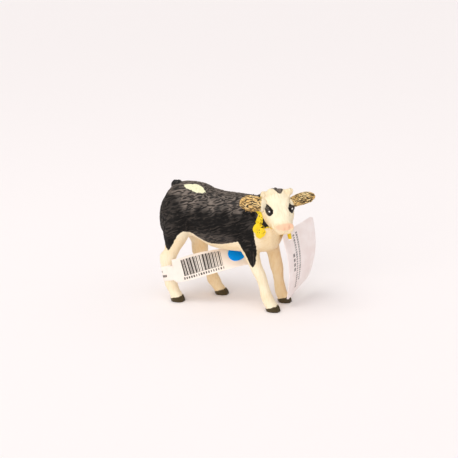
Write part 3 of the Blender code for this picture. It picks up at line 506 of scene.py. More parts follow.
def ear_vinyl():
    """Tan vinyl with engraved hair: dark brown paint lies in the strokes and is wiped off the ridges."""
    props = skin_props()
    made, tree, shader, place = material("engraved_ear_vinyl", 0.5)
    flow = add(tree, "ShaderNodeAttribute", attribute_name="flow").outputs["Vector"]
    lines = noise(tree, flow, 0.3, 1.5, (2.6, 1, 1))
    level = minus(tree, attribute(tree, "hair"), times(tree, attribute(tree, "dish"), 0.4))
    stroke = ease(tree, level, 0.1, -0.18)
    cloud = noise(tree, place, 3.0 * MM)
    dark = times(tree, stroke, ease(tree, cloud, 0.25, 0.65, 0.7, 1.0))
    colour = mix(tree, ease(tree, cloud, 0.35, 0.75), props.ear, linear(EAR_PALE))
    colour = mix(tree, attribute(tree, "rim"), colour, props.cream)
    dark = times(tree, dark, ease(tree, attribute(tree, "rim"), 0.9, 0.3))
    colour = mix(tree, dark, colour, props.ear_hair)
    colour_by(tree, shader, colour)
    raise_surface(tree, shader, ease(tree, lines, 0.42, 0.58), 0.1 * MM)
    return made


def tail_vinyl():
    """Black painted vinyl with long hair strokes that dry-brushing has touched lighter."""
    props = skin_props()
    made, tree, shader, place = material("brushed_tail_vinyl", 0.5)
    lines = noise(tree, place, 0.9 * MM, 2.0, (1, 1, 5))
    colour = mix(tree, ease(tree, lines, 0.5, 0.75, 0.0, 0.5), props.black, props.brushed_sheen)
    colour_by(tree, shader, colour)
    raise_surface(tree, shader, lines, 0.3 * MM)
    return made


def paper(name, colour, tint, fibre):
    """Coated paper: white fibre with a smooth clay coat, faintly mottled and a little see-through."""
    made, tree, shader, place = material(name, 0.55)
    mottle = noise(tree, place, fibre, 3.0)
    colour_by(tree, shader, mix(tree, ease(tree, mottle, 0.3, 0.7), colour, tint))
    raise_surface(tree, shader, mottle, 0.02 * MM)
    return made


def ink():
    """Black thermal print: flat ink that lets a little of the paper through in specks."""
    made, tree, shader, place = material("printed_ink", 0.6)
    speck = noise(tree, place, 0.35 * MM)
    colour = mix(tree, ease(tree, speck, 0.55, 0.8, 0.0, 0.5), tag_props().ink, tag_props().label)
    colour_by(tree, shader, colour)
    return made


def grey_ink():
    """Grey offset print: thin ink whose dots blur into a soft grey."""
    made, tree, shader, place = material("grey_print_ink", 0.6)
    speck = noise(tree, place, 0.5 * MM)
    colour = mix(tree, ease(tree, speck, 0.3, 0.8), *map(linear, GREY_PRINT))
    colour_by(tree, shader, colour)
    return made


def sticker_vinyl():
    """Satin sticker: coloured film with a faint grain."""
    made, tree, shader, place = material("blue_sticker_film", 0.42)
    shader.inputs["Specular IOR Level"].default_value = 0.1
    grain = noise(tree, place, 0.6 * MM)
    colour = mix(tree, ease(tree, grain, 0.3, 0.8, 0.0, 0.35), tag_props().dot, linear(DOT_PALE))
    colour_by(tree, shader, colour)
    raise_surface(tree, shader, grain, 0.02 * MM)
    return made


def strap_film():
    """Yellow polythene film: bright, slightly waxy, with small dark specks of print and dirt."""
    made, tree, shader, place = material("yellow_strap_film", 0.38)
    spread = {"Vector": place, "Scale": 1 / (1.25 * MM), "Randomness": 1.0}
    cells = add(tree, "ShaderNodeTexVoronoi", spread)
    speck = ease(tree, cells.outputs["Distance"], 0.30, 0.20)
    keep = noise(tree, place, 2.2 * MM)
    speck = times(tree, speck, ease(tree, keep, 0.44, 0.52))
    colour = mix(tree, noise(tree, place, 4 * MM), tag_props().film, linear(FILM_SHADE))
    colour_by(tree, shader, mix(tree, speck, colour, tag_props().speck))
    raise_surface(tree, shader, noise(tree, place, 1.0 * MM), 0.12 * MM)
    return made


def floor_paper():
    """Seamless background paper: matt and plain."""
    made, tree, shader, _ = material("background_paper", 0.95)
    shader.inputs["Base Color"].default_value = (*bpy.context.scene.calf_stage.floor, 1)
    shader.inputs["Specular IOR Level"].default_value = 0.0
    return made


def new_object(name, data):
    made = bpy.data.objects.new(name, data)
    bpy.context.scene.collection.objects.link(made)
    return made


def object_from(name, shape, *finishes):
    """Turns a bmesh into an object with its materials and frees it."""
    mesh = bpy.data.meshes.new(name)
    shape.to_mesh(mesh)
    shape.free()
    for finish in finishes:
        mesh.materials.append(finish)
    mesh.shade_smooth()
    return new_object(name, mesh)


def bake(thing):
    """Replaces the object's mesh by what its modifiers make of it."""
    graph = bpy.context.evaluated_depsgraph_get()
    mesh = bpy.data.meshes.new_from_object(thing.evaluated_get(graph))
    thing.modifiers.clear()
    old = thing.data
    thing.data = mesh
    bpy.data.meshes.remove(old)
    return thing


def coords(mesh, kind="vertices", field="co"):
    """An array of the mesh's points, or of another vector field."""
    items = getattr(mesh, kind)
    flat = np.empty(len(items) * 3, np.float32)
    items.foreach_get(field, flat)
    return flat.reshape(-1, 3).astype(float)


def normals(mesh):
    return coords(mesh, "vertex_normals", "vector")


def move_points(mesh, points):
    mesh.vertices.foreach_set("co", points.astype(np.float32).ravel())
    mesh.update()


def store(mesh, name, values):
    """Stores a number or a vector for each point."""
    kind, field = ("FLOAT_VECTOR", "vector") if values.ndim == 2 else ("FLOAT", "value")
    made = mesh.attributes.new(name, kind, "POINT")
    made.data.foreach_set(field, values.astype(np.float32).ravel())


def step(values, low, high):
    """A smooth step from 0 at low to 1 at high."""
    part = np.clip((values - low) / (high - low), 0, 1)
    return part * part * (3 - 2 * part)


def hill(values, width):
    return np.exp(-((values / width) ** 2))


def mound(points, place, width):
    """A soft hill round a place."""
    return hill(np.linalg.norm(points - np.array(place), axis=1), width)


def outline_distance(points, outline):
    """The signed distance of flat points to a closed outline, negative inside it."""
    nearest = np.full(len(points), np.inf)
    inside = np.zeros(len(points), bool)
    for start, end in zip(outline, outline[1:] + outline[:1]):
        start = np.array(start)
        way = np.array(end) - start
        offset = points - start
        part = np.clip(offset @ way / (way @ way), 0, 1)
        nearest = np.minimum(nearest, np.linalg.norm(offset - part[:, None] * way, axis=1))
        crosses = (offset[:, 1] < 0) != (points[:, 1] - end[1] < 0)
        turn = way[0] * offset[:, 1] - way[1] * offset[:, 0]
        inside ^= crosses & ((turn > 0) == (way[1] > 0))
    return np.where(inside, -nearest, nearest)


def melted(name, nodes, grid, closing, passes):
    """One closed fine mesh of CAD nodes: grown until joints close, run together and drawn back."""
    shape = bmesh.new()
    for node in nodes:
        shape.from_mesh(frame["nodes"][node].data)
    bmesh.ops.remove_doubles(shape, verts=shape.verts, dist=0.01 * MM)
    shape.normal_update()
    ways = [vert.normal.copy() for vert in shape.verts]
    for vert, way in zip(shape.verts, ways):
        vert.co += way * closing
    made = object_from(name, shape)
    remesh = made.modifiers.new("grid", "REMESH")
    remesh.mode = "VOXEL"
    remesh.voxel_size = grid
    remesh.use_smooth_shade = True
    soft = made.modifiers.new("soft", "SMOOTH")
    soft.iterations = passes
    bake(made)
    keep_outer(made.data)
    move_points(made.data, coords(made.data) - normals(made.data) * closing)
    return made


def keep_outer(mesh):
    """Deletes the closed hollows that pegs and sockets leave inside the skin."""
    count = len(mesh.vertices)
    edges = np.empty(len(mesh.edges) * 2, np.int32)
    mesh.edges.foreach_get("vertices", edges)
    edges = edges.reshape(-1, 2)
    label = np.arange(count)
    changed = True
    while changed:
        low = np.minimum(label[edges[:, 0]], label[edges[:, 1]])
        after = label.copy()
        np.minimum.at(after, edges[:, 0], low)
        np.minimum.at(after, edges[:, 1], low)
        after = after[after]
        changed = not np.array_equal(after, label)
        label = after
    names, sizes = np.unique(label, return_counts=True)
    main = names[np.argmax(sizes)]
    shape = bmesh.new()
    shape.from_mesh(mesh)
    shape.verts.ensure_lookup_table()
    extra = [shape.verts[index] for index in np.flatnonzero(label != main)]
    bmesh.ops.delete(shape, geom=extra, context="VERTS")
    shape.to_mesh(mesh)
    shape.free()


def head_frame():
    """The head's frame as a matrix from its own metres to the whole frame."""
    made = Matrix.Translation(HEAD_PLACE)
    for axis, degrees in HEAD_TURNS:
        made = made @ Matrix.Rotation(math.radians(degrees), 4, axis)
    return made


def in_head(points):
    """Points in millimetres of the head's own frame."""
    turn = np.array(head_frame().to_3x3())
    return (points - np.array(HEAD_PLACE)) @ turn / MM


def eye_plane(head, hand):
    """Places round an eye in millimetres: along the head, and up its cheek to the forehead."""
    along, across, out = EYE_PLACE
    side = head[:, 1] * hand - across
    rise = (head[:, 2] - out) * math.sin(EYE_LEAN) - side * math.cos(EYE_LEAN)
    return np.stack([head[:, 0] - along, rise], 1)


def hoof_edge(spots, sole):
    """How far a point is above the coronet, which rises to the toe, in millimetres."""
    return spots[:, 2] - HOOF_TOP - HOOF_RISE * (spots[:, 0] - sole[0])


def soles():
    """The middle of each sole in millimetres, from the record's mounts."""
    return [np.array(mount["pos_m"][:2]) / MM for mount in frame["record"]["mounts"]]


def sculpt_hooves(spots, faces):
    """How far each point moves out to give the hooves their edge and cleft, in millimetres."""
    moved = np.zeros(len(spots))
    side = 1 - step(-faces[:, 2], 0.5, 0.9)
    for sole in soles():
        near = np.linalg.norm(spots[:, :2] - sole, axis=1) < HOOF_REACH
        above = hoof_edge(spots, sole)
        shape = 0.24 * step(-above, -0.15, 0.25) - 0.14 * hill(above - 0.45, 0.4)
        across = spots[:, 1] - sole[1] + 0.1
        along = spots[:, 0] - sole[0]
        toe = hill(across, 0.34) * step(along, 0.6, 1.6) * step(-above, -0.6, 0.2)
        heel = hill(across, 0.34) * step(-along, 0.8, 1.8) * step(-above, -1.6, -0.6)
        shape -= 0.6 * toe + 0.35 * heel
        moved += np.where(near & (above < 3), shape * side, 0)
    return moved


def crease(spots, start, end, width):
    """A soft line between two places seen from the side, as a share of its depth."""
    start = np.array(start)
    way = np.array(end) - start
    offset = spots[:, [0, 2]] - start
    part = np.clip(offset @ way / (way @ way), 0, 1)
    away = np.linalg.norm(offset - part[:, None] * way, axis=1)
    return hill(away, width) * step(np.abs(spots[:, 1] + 3), 3.5, 6)


def sculpt_body(spots):
    """The soft folds behind the shoulder, before the thigh, along the ribs and over the knees."""
    moved = -0.45 * crease(spots, (3.0, 50.0), (7.0, 37.0), 1.7)
    moved -= 0.35 * crease(spots, (-21.5, 54.0), (-19.5, 41.0), 2.0)
    moved -= 0.22 * crease(spots, (-3.0, 42.0), (-14.0, 39.0), 2.6)
    moved += 0.3 * crease(spots, (-28.0, 57.0), (-24.5, 58.5), 2.2)
    moved += 0.3 * crease(spots, (9.5, 54.0), (12.0, 44.0), 2.4)
    # The rump falls away below the tail, and the fetlock of the far hind leg is full.
    shapes = (
        (RUMP_DIP, RUMP_DIP_WIDTH, -1.7),
        ((-37.0, -7.0, 53.5), 3.4, -0.5),
        (FAR_FETLOCK, 2.5, 0.9),
    )
    for place, width, depth in shapes:
        moved += depth * mound(spots, place, width)
    return moved


def sculpt_head(head):
    """Lids, eye corners, nostrils, mouth and cheeks, in millimetres out of the skin."""
    moved = np.zeros(len(head))
    on_head = step(head[:, 0], -6, -2)
    for hand in (-1, 1):
        plane = eye_plane(head, hand)
        away = outline_distance(plane, EYE_OUTLINE)
        close = (head[:, 1] * hand > 1) & (np.linalg.norm(plane, axis=1) < 9)
        lid = 0.16 * hill(away - 0.5, 0.4) - 0.16 * hill(away - 0.05, 0.25)
        brow = 0.4 * hill(away - 1.6, 1.0) * step(plane[:, 1] - 0.25 * plane[:, 0], 0.3, 1.6)
        ball = 0.3 * step(-away, 0.0, 1.4) * step(plane[:, 0], -2.6, -0.8)
        moved += np.where(close & (head[:, 2] > -7), lid + brow + ball, 0)
        along, across, out = NOSTRIL_PLACE
        offset = head - np.array((along, across * hand, out))
        slant = offset[:, 1] * hand * 0.8 - offset[:, 2] * 0.6
        pit = hill(slant, 1.05) * hill(offset[:, 0] * 0.6 + offset[:, 2] * 0.8, 0.5)
        near = np.linalg.norm(offset, axis=1) < 3.2
        rim = 0.28 * hill(np.linalg.norm(offset, axis=1) - 1.4, 0.5)
        moved += np.where(near, rim * 0.5 - 0.5 * pit, 0)
    front = step(head[:, 0], 15.5, 18.0)
    level = head[:, 2] - MOUTH_LEVEL - 0.12 * (22 - head[:, 0])
    moved -= 0.5 * hill(level, 0.34) * front
    moved += 0.22 * hill(level + 0.9, 0.7) * front
    moved += 0.2 * step(head[:, 0], MUZZLE_EDGE - 0.6, MUZZLE_EDGE + 0.3) * step(head[:, 2], -6, -4)
    moved -= 0.3 * hill(head[:, 1], 0.35) * step(head[:, 0], 21.0, 22.4) * step(head[:, 2], -4.6, -3.6)
    # The nose pad has square upper corners over a small chin, and curls stand up round the buds.
    shapes = (
        ((21.0, 4.6, -1.6), 2.0, 0.6),
        ((21.0, -4.6, -1.6), 2.0, 0.6),
        ((21.5, 0.0, -7.0), 2.6, -0.7),
        ((0.4, -5.2, -1.0), 2.3, 0.3),
        ((0.4, 5.2, -0.6), 2.3, 0.6),
        ((0.0, -3.2, 0.2), 2.3, 1.3),
    )
    for place, width, height in shapes:
        moved += height * mound(head, place, width)
    return moved * on_head


def hair_flow(spots, head):
    """Coordinates in millimetres along and across the hair, and how much of it a place carries."""
    lean = math.radians(-20)
    along = spots[:, 0] * math.cos(lean) - spots[:, 2] * math.sin(lean)
    across = spots[:, 0] * math.sin(lean) + spots[:, 2] * math.cos(lean)
    flow = np.stack([along, across, spots[:, 1]], 1)
    leg = spots[:, 2] < 31
    flow[leg] = spots[leg][:, [2, 0, 1]]
    on_head = is_head(spots)
    flow[on_head] = head[on_head]
    poll = on_head & (head[:, 0] < 5.5)
    flow[poll] *= 0.62
    amount = np.full(len(spots), 0.22)
    body = outline_distance(spots[:, [0, 2]], NEAR_COAT)
    amount = np.maximum(amount, step(-body, -1.5, 2.0) * step(spots[:, 2], 26, 36))
    amount[on_head] = 0.12
    amount = np.where(on_head, np.maximum(amount, 1.2 * step(-head[:, 0], -5.5, -1.5)), amount)
    amount *= step(spots[:, 2], 5.0, 9.0)
    return flow, amount


def is_head(spots):
    """Which points lie on the head's side of the neck's seam."""
    place, way = NECK_SEAM
    return (spots * MM - np.array(place)) @ np.array(way) > 0


def paint(mesh):
    """Stores the distance of each point to the edge of each colour, in millimetres."""
    spots = coords(mesh) / MM
    head = in_head(spots * MM)
    on_head = is_head(spots)
    near = outline_distance(spots[:, [0, 2]], NEAR_COAT)
    far = outline_distance(spots[:, [0, 2]], FAR_COAT)
    side = np.where(spots[:, 2] < 36, step(spots[:, 1], -9.5, -7), step(spots[:, 1], -6, 0))
    coat = near * (1 - side) + far * side
    # The face and the front of the neck are cream below the ears.
    face = outline_distance(head[:, :2], POLL_PATCH)
    face = np.maximum(face, -3.2 - head[:, 2])
    throat = outline_distance(head[:, [0, 2]], THROAT_PATCH)
    throat = np.maximum(throat, head[:, 1] + 5.5)
    nape = np.maximum(spots[:, 0] - 15.6, 54.0 - spots[:, 2])
    coat = np.minimum(coat, np.where(on_head, nape, FAR_OFF))
    coat = np.minimum(coat, np.where(on_head, face, FAR_OFF))
    coat = np.minimum(coat, throat)
    store(mesh, "coat", coat)
    patch = np.maximum(outline_distance(spots[:, :2], RUMP_PATCH), 50 - spots[:, 2])
    store(mesh, "patch", patch)
    muzzle = np.maximum(MUZZLE_EDGE - head[:, 0], np.abs(head[:, 1]) - 5.3)
    muzzle = np.maximum(muzzle, MUZZLE_FOOT - head[:, 2])
    store(mesh, "muzzle", np.where(on_head, muzzle, FAR_OFF))
    eye = np.full(len(spots), FAR_OFF)
    glint = np.full(len(spots), FAR_OFF)
    for hand in (-1, 1):
        plane = eye_plane(head, hand)
        at_eye = on_head & (head[:, 1] * hand > 1) & (head[:, 2] > -7.5)
        eye = np.where(at_eye, np.minimum(eye, outline_distance(plane, EYE_OUTLINE)), eye)
        round_glint = np.linalg.norm(plane - np.array(GLINT_PLACE), axis=1) - GLINT_RADIUS
        glint = np.where(at_eye, np.minimum(glint, round_glint), glint)
    store(mesh, "eye", eye)
    store(mesh, "glint", glint)
    hoof = np.full(len(spots), FAR_OFF)
    for sole in soles():
        close = np.linalg.norm(spots[:, :2] - sole, axis=1) < HOOF_REACH
        hoof = np.where(close, np.minimum(hoof, hoof_edge(spots, sole)), hoof)
    store(mesh, "hoof", hoof)
    store(mesh, "shade", shade_of(spots, head, on_head))
    # Sheen is painted on where light catches the coat: over the back and upper flank, and lightly over
    # belly, rump and shoulder.
    ragged = spots[:, 2] + 1.3 * np.sin(0.5 * spots[:, 0]) + 0.8 * np.sin(1.3 * spots[:, 0] + 1)
    flank = step(ragged, 46.5, 54) * step(spots[:, 0], -31, -24)
    back = step(spots[:, 2], 54, 57)
    belly = 0.32 * step(-spots[:, 2], -41, -36)
    belly *= step(spots[:, 0], -24, -18) * step(-spots[:, 0], -5, 0)
    rump = 0.17 * step(-spots[:, 0], 25, 30) * step(spots[:, 2], 30, 38)
    shoulder = 0.16 * step(spots[:, 0], 6, 11) * step(spots[:, 2], 38, 44)
    light = np.maximum(belly, np.maximum(rump, shoulder))
    store(mesh, "brush", np.maximum(0.03 + 0.8 * np.maximum(flank, back), light))


def shade_of(spots, head, on_head):
    """How much yellow-brown is painted on a place as shade where less light falls: the far legs, chest,
    belly, groin, knees and lips.
    """
    far_legs = 0.5 * step(spots[:, 1], -2, 2) * step(-spots[:, 2], -36, -26)
    chest = 0.5 * step(spots[:, 0], 13, 18) * step(-spots[:, 2], -46, -36) * step(spots[:, 2], 24, 30)
    belly = 0.35 * step(-spots[:, 2], -37, -31) * step(spots[:, 2], 22, 28)
    hocks = 0.3 * hill(spots[:, 2] - 8.0, 2.2) + 0.2 * hill(spots[:, 2] - 15.5, 2.5)
    made = np.maximum(np.maximum(far_legs, chest), np.maximum(belly, hocks * 0.6))
    face = 0.45 * step(-head[:, 2], 2.0, 8.0) + 0.25 * step(head[:, 0], 17.5, 19.5)
    crown = 0.25 * step(-head[:, 0], -4.0, -1.0)
    return np.where(on_head, np.maximum(face, crown), made)


def new_group(name, sockets):
    """A new geometry node group with inputs given as names and kinds, and what its input node gives."""
    tree = bpy.data.node_groups.new(name, "GeometryNodeTree")
    for title, kind in sockets:
        tree.interface.new_socket(title, in_out="INPUT", socket_type=f"NodeSocket{kind}")
    tree.interface.new_socket("Geometry", in_out="OUTPUT", socket_type="NodeSocketGeometry")
    return tree, add(tree, "NodeGroupInput").outputs


def end_group(tree, last, finish):
    """Makes what the last node gives real, gives it its material and hands it out."""
    real = add(tree, "GeometryNodeRealizeInstances", {"Geometry": last.outputs[0]})
    inputs = {"Geometry": real.outputs[0], "Material": finish}
    dressed = add(tree, "GeometryNodeSetMaterial", inputs).outputs[0]
    tree.links.new(dressed, add(tree, "NodeGroupOutput").inputs[0])


def hair_tree():
    """Geometry nodes that raise hair strokes along the stored flow and store how high each point is."""
    sizes = [(name, "Float") for name in ("Depth", "Width", "Length", "Waviness")]
    tree, start = new_group("moulded hair", [("Geometry", "Geometry"), *sizes, ("Material", "Material")])
    flow = add(tree, "GeometryNodeInputNamedAttribute", {"Name": "flow"}, data_type="FLOAT_VECTOR")
    flow = flow.outputs[0]
    fur = add(tree, "GeometryNodeInputNamedAttribute", {"Name": "fur"}, data_type="FLOAT").outputs[0]
    drift = add(tree, "ShaderNodeTexNoise", {"Vector": flow, "Scale": 0.3, "Detail": 1.0})
    drift = vector_math(tree, "SUBTRACT", drift.outputs["Color"], (0.5, 0.5, 0.5))
    bent = vector_math(tree, "ADD", flow, vector_math(tree, "SCALE", drift, start["Waviness"]))
    size = combine(tree, start["Length"], start["Width"], start["Width"])
    scaled = vector_math(tree, "DIVIDE", bent, size)
    height = add(tree, "ShaderNodeTexNoise", {"Vector": scaled, "Scale": 1.0, "Detail": 1.0})
    height = ease(tree, height.outputs["Fac"], 0.36, 0.64, -1.0, 1.0)
    inputs = {"Geometry": start["Geometry"], "Name": "hair", "Value": height}
    named = add(tree, "GeometryNodeStoreNamedAttribute", inputs, data_type="FLOAT", domain="POINT")
    reach = times(tree, times(tree, height, fur), start["Depth"])
    way = add(tree, "GeometryNodeInputNormal").outputs[0]
    inputs = {"Geometry": named.outputs[0], "Offset": vector_math(tree, "SCALE", way, reach)}
    end_group(tree, add(tree, "GeometryNodeSetPosition", inputs), start["Material"])
    return tree


def run_tree(thing, tree, values):
    """Runs geometry nodes on an object, with its inputs given by name, and bakes them."""
    modifier = thing.modifiers.new("nodes", "NODES")
    modifier.node_group = tree
    for item in tree.interface.items_tree:
        if item.in_out == "INPUT" and item.name in values:
            modifier[item.identifier] = values[item.name]
    return bake(thing)


def grow_hair(thing, finish, depth, width, length):
    """Raises the hair on an object that has the flow and fur attributes."""
    values = {
        "Depth": depth,
        "Width": width / MM,
        "Length": length / MM,
        "Waviness": 1.5,
        "Material": finish,
    }
    run_tree(thing, hair_tree(), values)


def cut_away(source, name, place, way):
    """A closed copy of a mesh with all that lies past a plane cut off."""
    shape = bmesh.new()
    shape.from_mesh(source)
    everything = shape.verts[:] + shape.edges[:] + shape.faces[:]
    bmesh.ops.bisect_plane(
        shape, geom=everything, dist=0.0001 * MM, plane_co=place, plane_no=way, clear_outer=True
    )
    rim = [edge for edge in shape.edges if edge.is_boundary]
    bmesh.ops.holes_fill(shape, edges=rim, sides=0)
    for edge in rim:
        edge.smooth = False
    return object_from(name, shape, *source.materials)


def leg_of(source, node):
    """A copy of one leg out of a mesh of all four, by its place before or behind and left or right."""
    mounts = frame["record"]["mounts"]
    middle = (mounts[0]["pos_m"][0] + mounts[2]["pos_m"][0]) / 2
    shape = bmesh.new()
    shape.from_mesh(source)
    extra = []
    for vert in shape.verts:
        before, left = vert.co.x > middle, vert.co.y > LEG_PARTING
        if before != ("front" in node) or left != ("left" in node):
            extra.append(vert)
    bmesh.ops.delete(shape, geom=extra, context="VERTS")
    return object_from(f"{node}_skin", shape, *source.materials)


def place_piece(thing, body, node):
    """Lets a piece ride on its body and stand for its node, whose CAD part it hides."""
    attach(thing, body)
    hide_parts(node)


def place_trim(thing, body):
    """Lets a piece that stands for no node ride on a body."""
    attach(thing, body)


def make_skin():
    """The whole vinyl skin, sculpted, painted and covered with hair."""
    props = skin_props()
    skin = melted("skin", SKIN_NODES, props.grid, props.closing, 9)
    mesh = skin.data
    points = coords(mesh)
    faces = normals(mesh)
    spots = points / MM
    head = in_head(points)
    moved = sculpt_hooves(spots, faces) + sculpt_body(spots)
    moved += np.where(is_head(spots), sculpt_head(head), 0)
    points = points + faces * moved[:, None] * MM
    points[:, 2] = np.maximum(points[:, 2], 0)
    move_points(mesh, points)
    paint(mesh)
    flow, amount = hair_flow(points / MM, in_head(points))
    clear = step(mesh_values(mesh, "eye"), 0.3, 1.4) * step(mesh_values(mesh, "muzzle"), -0.5, 0.8)
    store(mesh, "flow", flow)
    store(mesh, "fur", amount * clear)
    grow_hair(skin, painted_vinyl(), props.hair_depth, props.hair_width, props.hair_length)
    return skin


def mesh_values(mesh, name):
    flat = np.empty(len(mesh.vertices), np.float32)
    mesh.attributes[name].data.foreach_get("value", flat)
    return flat.astype(float)


class CalfSkinOperator(bpy.types.Operator):
    """Makes the torso, the head and the four legs from one painted skin"""

    bl_idname = "calf.skin"
    bl_label = "Body skin"

    def execute(self, context):
        skin = make_skin()
        place, way = NECK_SEAM
        up = Vector((0, 0, 1))
        seam = Vector((0, 0, LEG_SEAM))
        place_piece(cut_away(skin.data, "head_skin", place, -way), "figure", "head")
        rest = cut_away(skin.data, "rest", place, way)
        place_piece(cut_away(rest.data, "torso_skin", seam, -up), "figure", "torso")
        legs = cut_away(rest.data, "legs", seam, up)
        for node in SKIN_NODES[2:]:
            place_piece(leg_of(legs.data, node), "figure", node)
        for helper in (skin, rest, legs):
            bpy.data.objects.remove(helper, do_unlink=True)
        return {"FINISHED"}


class CalfTailOperator(bpy.types.Operator):
    """Makes the tail, which lies in its groove down the rump"""

    bl_idname = "calf.tail"
    bl_label = "Tail"

    def execute(self, context):
        props = skin_props()
        tail = melted("tail_skin", ["tail"], *TAIL_MELT)
        points = coords(tail.data)
        knob = mound(points / MM, TAIL_KNOB, 2.4)
        dip = mound(points / MM, RUMP_DIP, RUMP_DIP_WIDTH)
        points += normals(tail.data) * ((0.2 + 0.35 * knob) * MM)[:, None]
        points += dip[:, None] * np.array((1.5, 0.3, -0.6)) * (1 - knob[:, None]) * MM
        move_points(tail.data, points)
        spots = points / MM
        store(tail.data, "flow", spots[:, [2, 0, 1]])
        store(tail.data, "fur", np.ones(len(spots)))
        grow_hair(tail, tail_vinyl(), *TAIL_HAIR, props.hair_length)
        place_piece(tail, "figure", "tail")
        return {"FINISHED"}


def ear_axes(name):
    """The ear's root, and its ways along, out of its face and across, in the whole frame."""
    root, way, face = EARS[name][:3]
    turn = head_frame().to_3x3()
    way = (turn @ Vector(way)).normalized()
    face = turn @ Vector(face)
    face = (face - way * face.dot(way)).normalized()
    return head_frame() @ (Vector(root) * MM), way, face, way.cross(face).normalized()


def shape_ear(mesh, name):
    """Dishes and broadens an ear, and stores its hair and the places of its colours."""
    root, way, face, across = ear_axes(name)
    growth, begin, cream = EARS[name][3:]
    offset = (coords(mesh) - np.array(root)) / MM
    along = offset @ np.array(way)
    wide = offset @ np.array(across)
    out = normals(mesh) @ np.array(face)
    middle = (along - 0.5 * EAR_LENGTH) / (0.56 * EAR_LENGTH)
    spread = np.hypot(middle, wide / EAR_HALF_WIDTH)
    dish = -0.85 * step(1 - spread, 0.08, 0.5) * step(out, 0.1, 0.6)
    grown = 0.22 * step(-along, -1.6, -0.4)
    broad = growth * wide * step(along, begin, begin + 2.5)
    points = coords(mesh) + normals(mesh) * ((dish + grown) * MM)[:, None]
    move_points(mesh, points + broad[:, None] * np.array(across) * MM)
    # The hair fans out from a place behind the root.
    angle = np.arctan2(wide, along + 3.0)
    reach = np.hypot(wide, along + 3.0)
    store(mesh, "flow", np.stack([reach, angle * 8.0, offset @ np.array(face)], 1))
    store(mesh, "fur", step(along, -0.5, 2.0) * (1 - 0.8 * step(spread, 0.8, 1.0)))
    store(mesh, "rim", np.maximum(step(spread, 0.95, 1.15) * 0.4, step(-along, -cream, 0.8 - cream)))
    store(mesh, "dish", step(1 - spread, 0.05, 0.5) * step(out, -0.2, 0.3))


class CalfEarsOperator(bpy.types.Operator):
    """Makes the two ears with their dished fronts and engraved hair"""

    bl_idname = "calf.ears"
    bl_label = "Ears"

    def execute(self, context):
        finish = ear_vinyl()
        for name in EARS:
            ear = melted(f"{name}_skin", [name], *EAR_MELT)
            shape_ear(ear.data, name)
            grow_hair(ear, finish, *EAR_HAIR)
            place_piece(ear, "figure", name)
        return {"FINISHED"}


def curve_through(rows, count, closed):
    """A smooth curve through rows of numbers, as an array with a count of points for each row."""
    rows = [np.array(row, float) for row in rows]
    total = len(rows)
    found = []
    for span in range(total if closed else total - 1):
        near, far = rows[span], rows[(span + 1) % total]
        before = rows[span - 1] if closed or span else near
        after = rows[(span + 2) % total] if closed or span + 2 < total else far
        for part in np.arange(count) / count:
            square, cube = part**2, part**3
            found.append(
                (2 * cube - 3 * square + 1) * near
                + (cube - 2 * square + part) * (far - before) / 2
                + (3 * square - 2 * cube) * far
                + (cube - square) * (after - near) / 2
            )
    if not closed:
        found.append(rows[-1])
    return np.array(found)


def thicken(thing, thickness, rounding):
    """Gives a sheet its thickness, to both sides, and edges rounded by a share of it."""
    thick = thing.modifiers.new("thick", "SOLIDIFY")
    thick.thickness = thickness
    thick.offset = 0
    edge = thing.modifiers.new("edge", "BEVEL")
    edge.width = thickness * rounding
    edge.segments = 2
    edge.limit_method = "ANGLE"
    edge.angle_limit = SHARP_EDGE
    return bake(thing)


def strip(name, grid, thickness, closed=False):
    """A thin sheet over a grid of points, whose last row joins the first if it is closed."""
    shape = bmesh.new()
    rows, columns = grid.shape[:2]
    verts = [[shape.verts.new(point) for point in row] for row in grid]
    for row in range(rows if closed else rows - 1):
        near, far = verts[row], verts[(row + 1) % rows]
        for column in range(columns - 1):
            shape.faces.new((near[column], far[column], far[column + 1], near[column + 1]))
    return thicken(object_from(name, shape), thickness, SHEET_ROUNDING)


def label_lines():
    """The label's lower edge, the way up it and the way out of it, with the length run so far."""
    # The narrow neck by the leg is straight, and the broad panel past its corner is bent.
    rows = np.concatenate([np.array(LABEL_ROWS[:3], float), curve_through(LABEL_ROWS[3:], 6, False)])
    lower = rows[:, :3]
    way = np.concatenate([np.tile((1.0, 0.0, 0.0), (3, 1)), np.gradient(lower[3:], axis=0)])
    way /= np.linalg.norm(way, axis=1)[:, None]
    lean = np.radians(rows[:, 4])
    rise = np.stack([np.zeros(len(rows)), np.sin(lean), np.cos(lean)], 1)
    rise -= way * np.sum(rise * way, axis=1)[:, None]
    rise /= np.linalg.norm(rise, axis=1)[:, None]
    out = np.cross(way, rise)
    run = np.concatenate([[0], np.cumsum(np.linalg.norm(np.diff(lower, axis=0), axis=1))])
    return lower, rise, out, rows[:, 3], run


def on_label(points):
    """Moves flat points, as length along, height and stand-off in millimetres, onto the label."""
    lower, rise, out, _, run = label_lines()
    found = []
    for field in (lower, rise, out):
        found.append(np.stack([np.interp(points[:, 0], run, field[:, axis]) for axis in range(3)], 1))
    return (found[0] + found[1] * points[:, 1:2] + found[2] * points[:, 2:3]) * MM


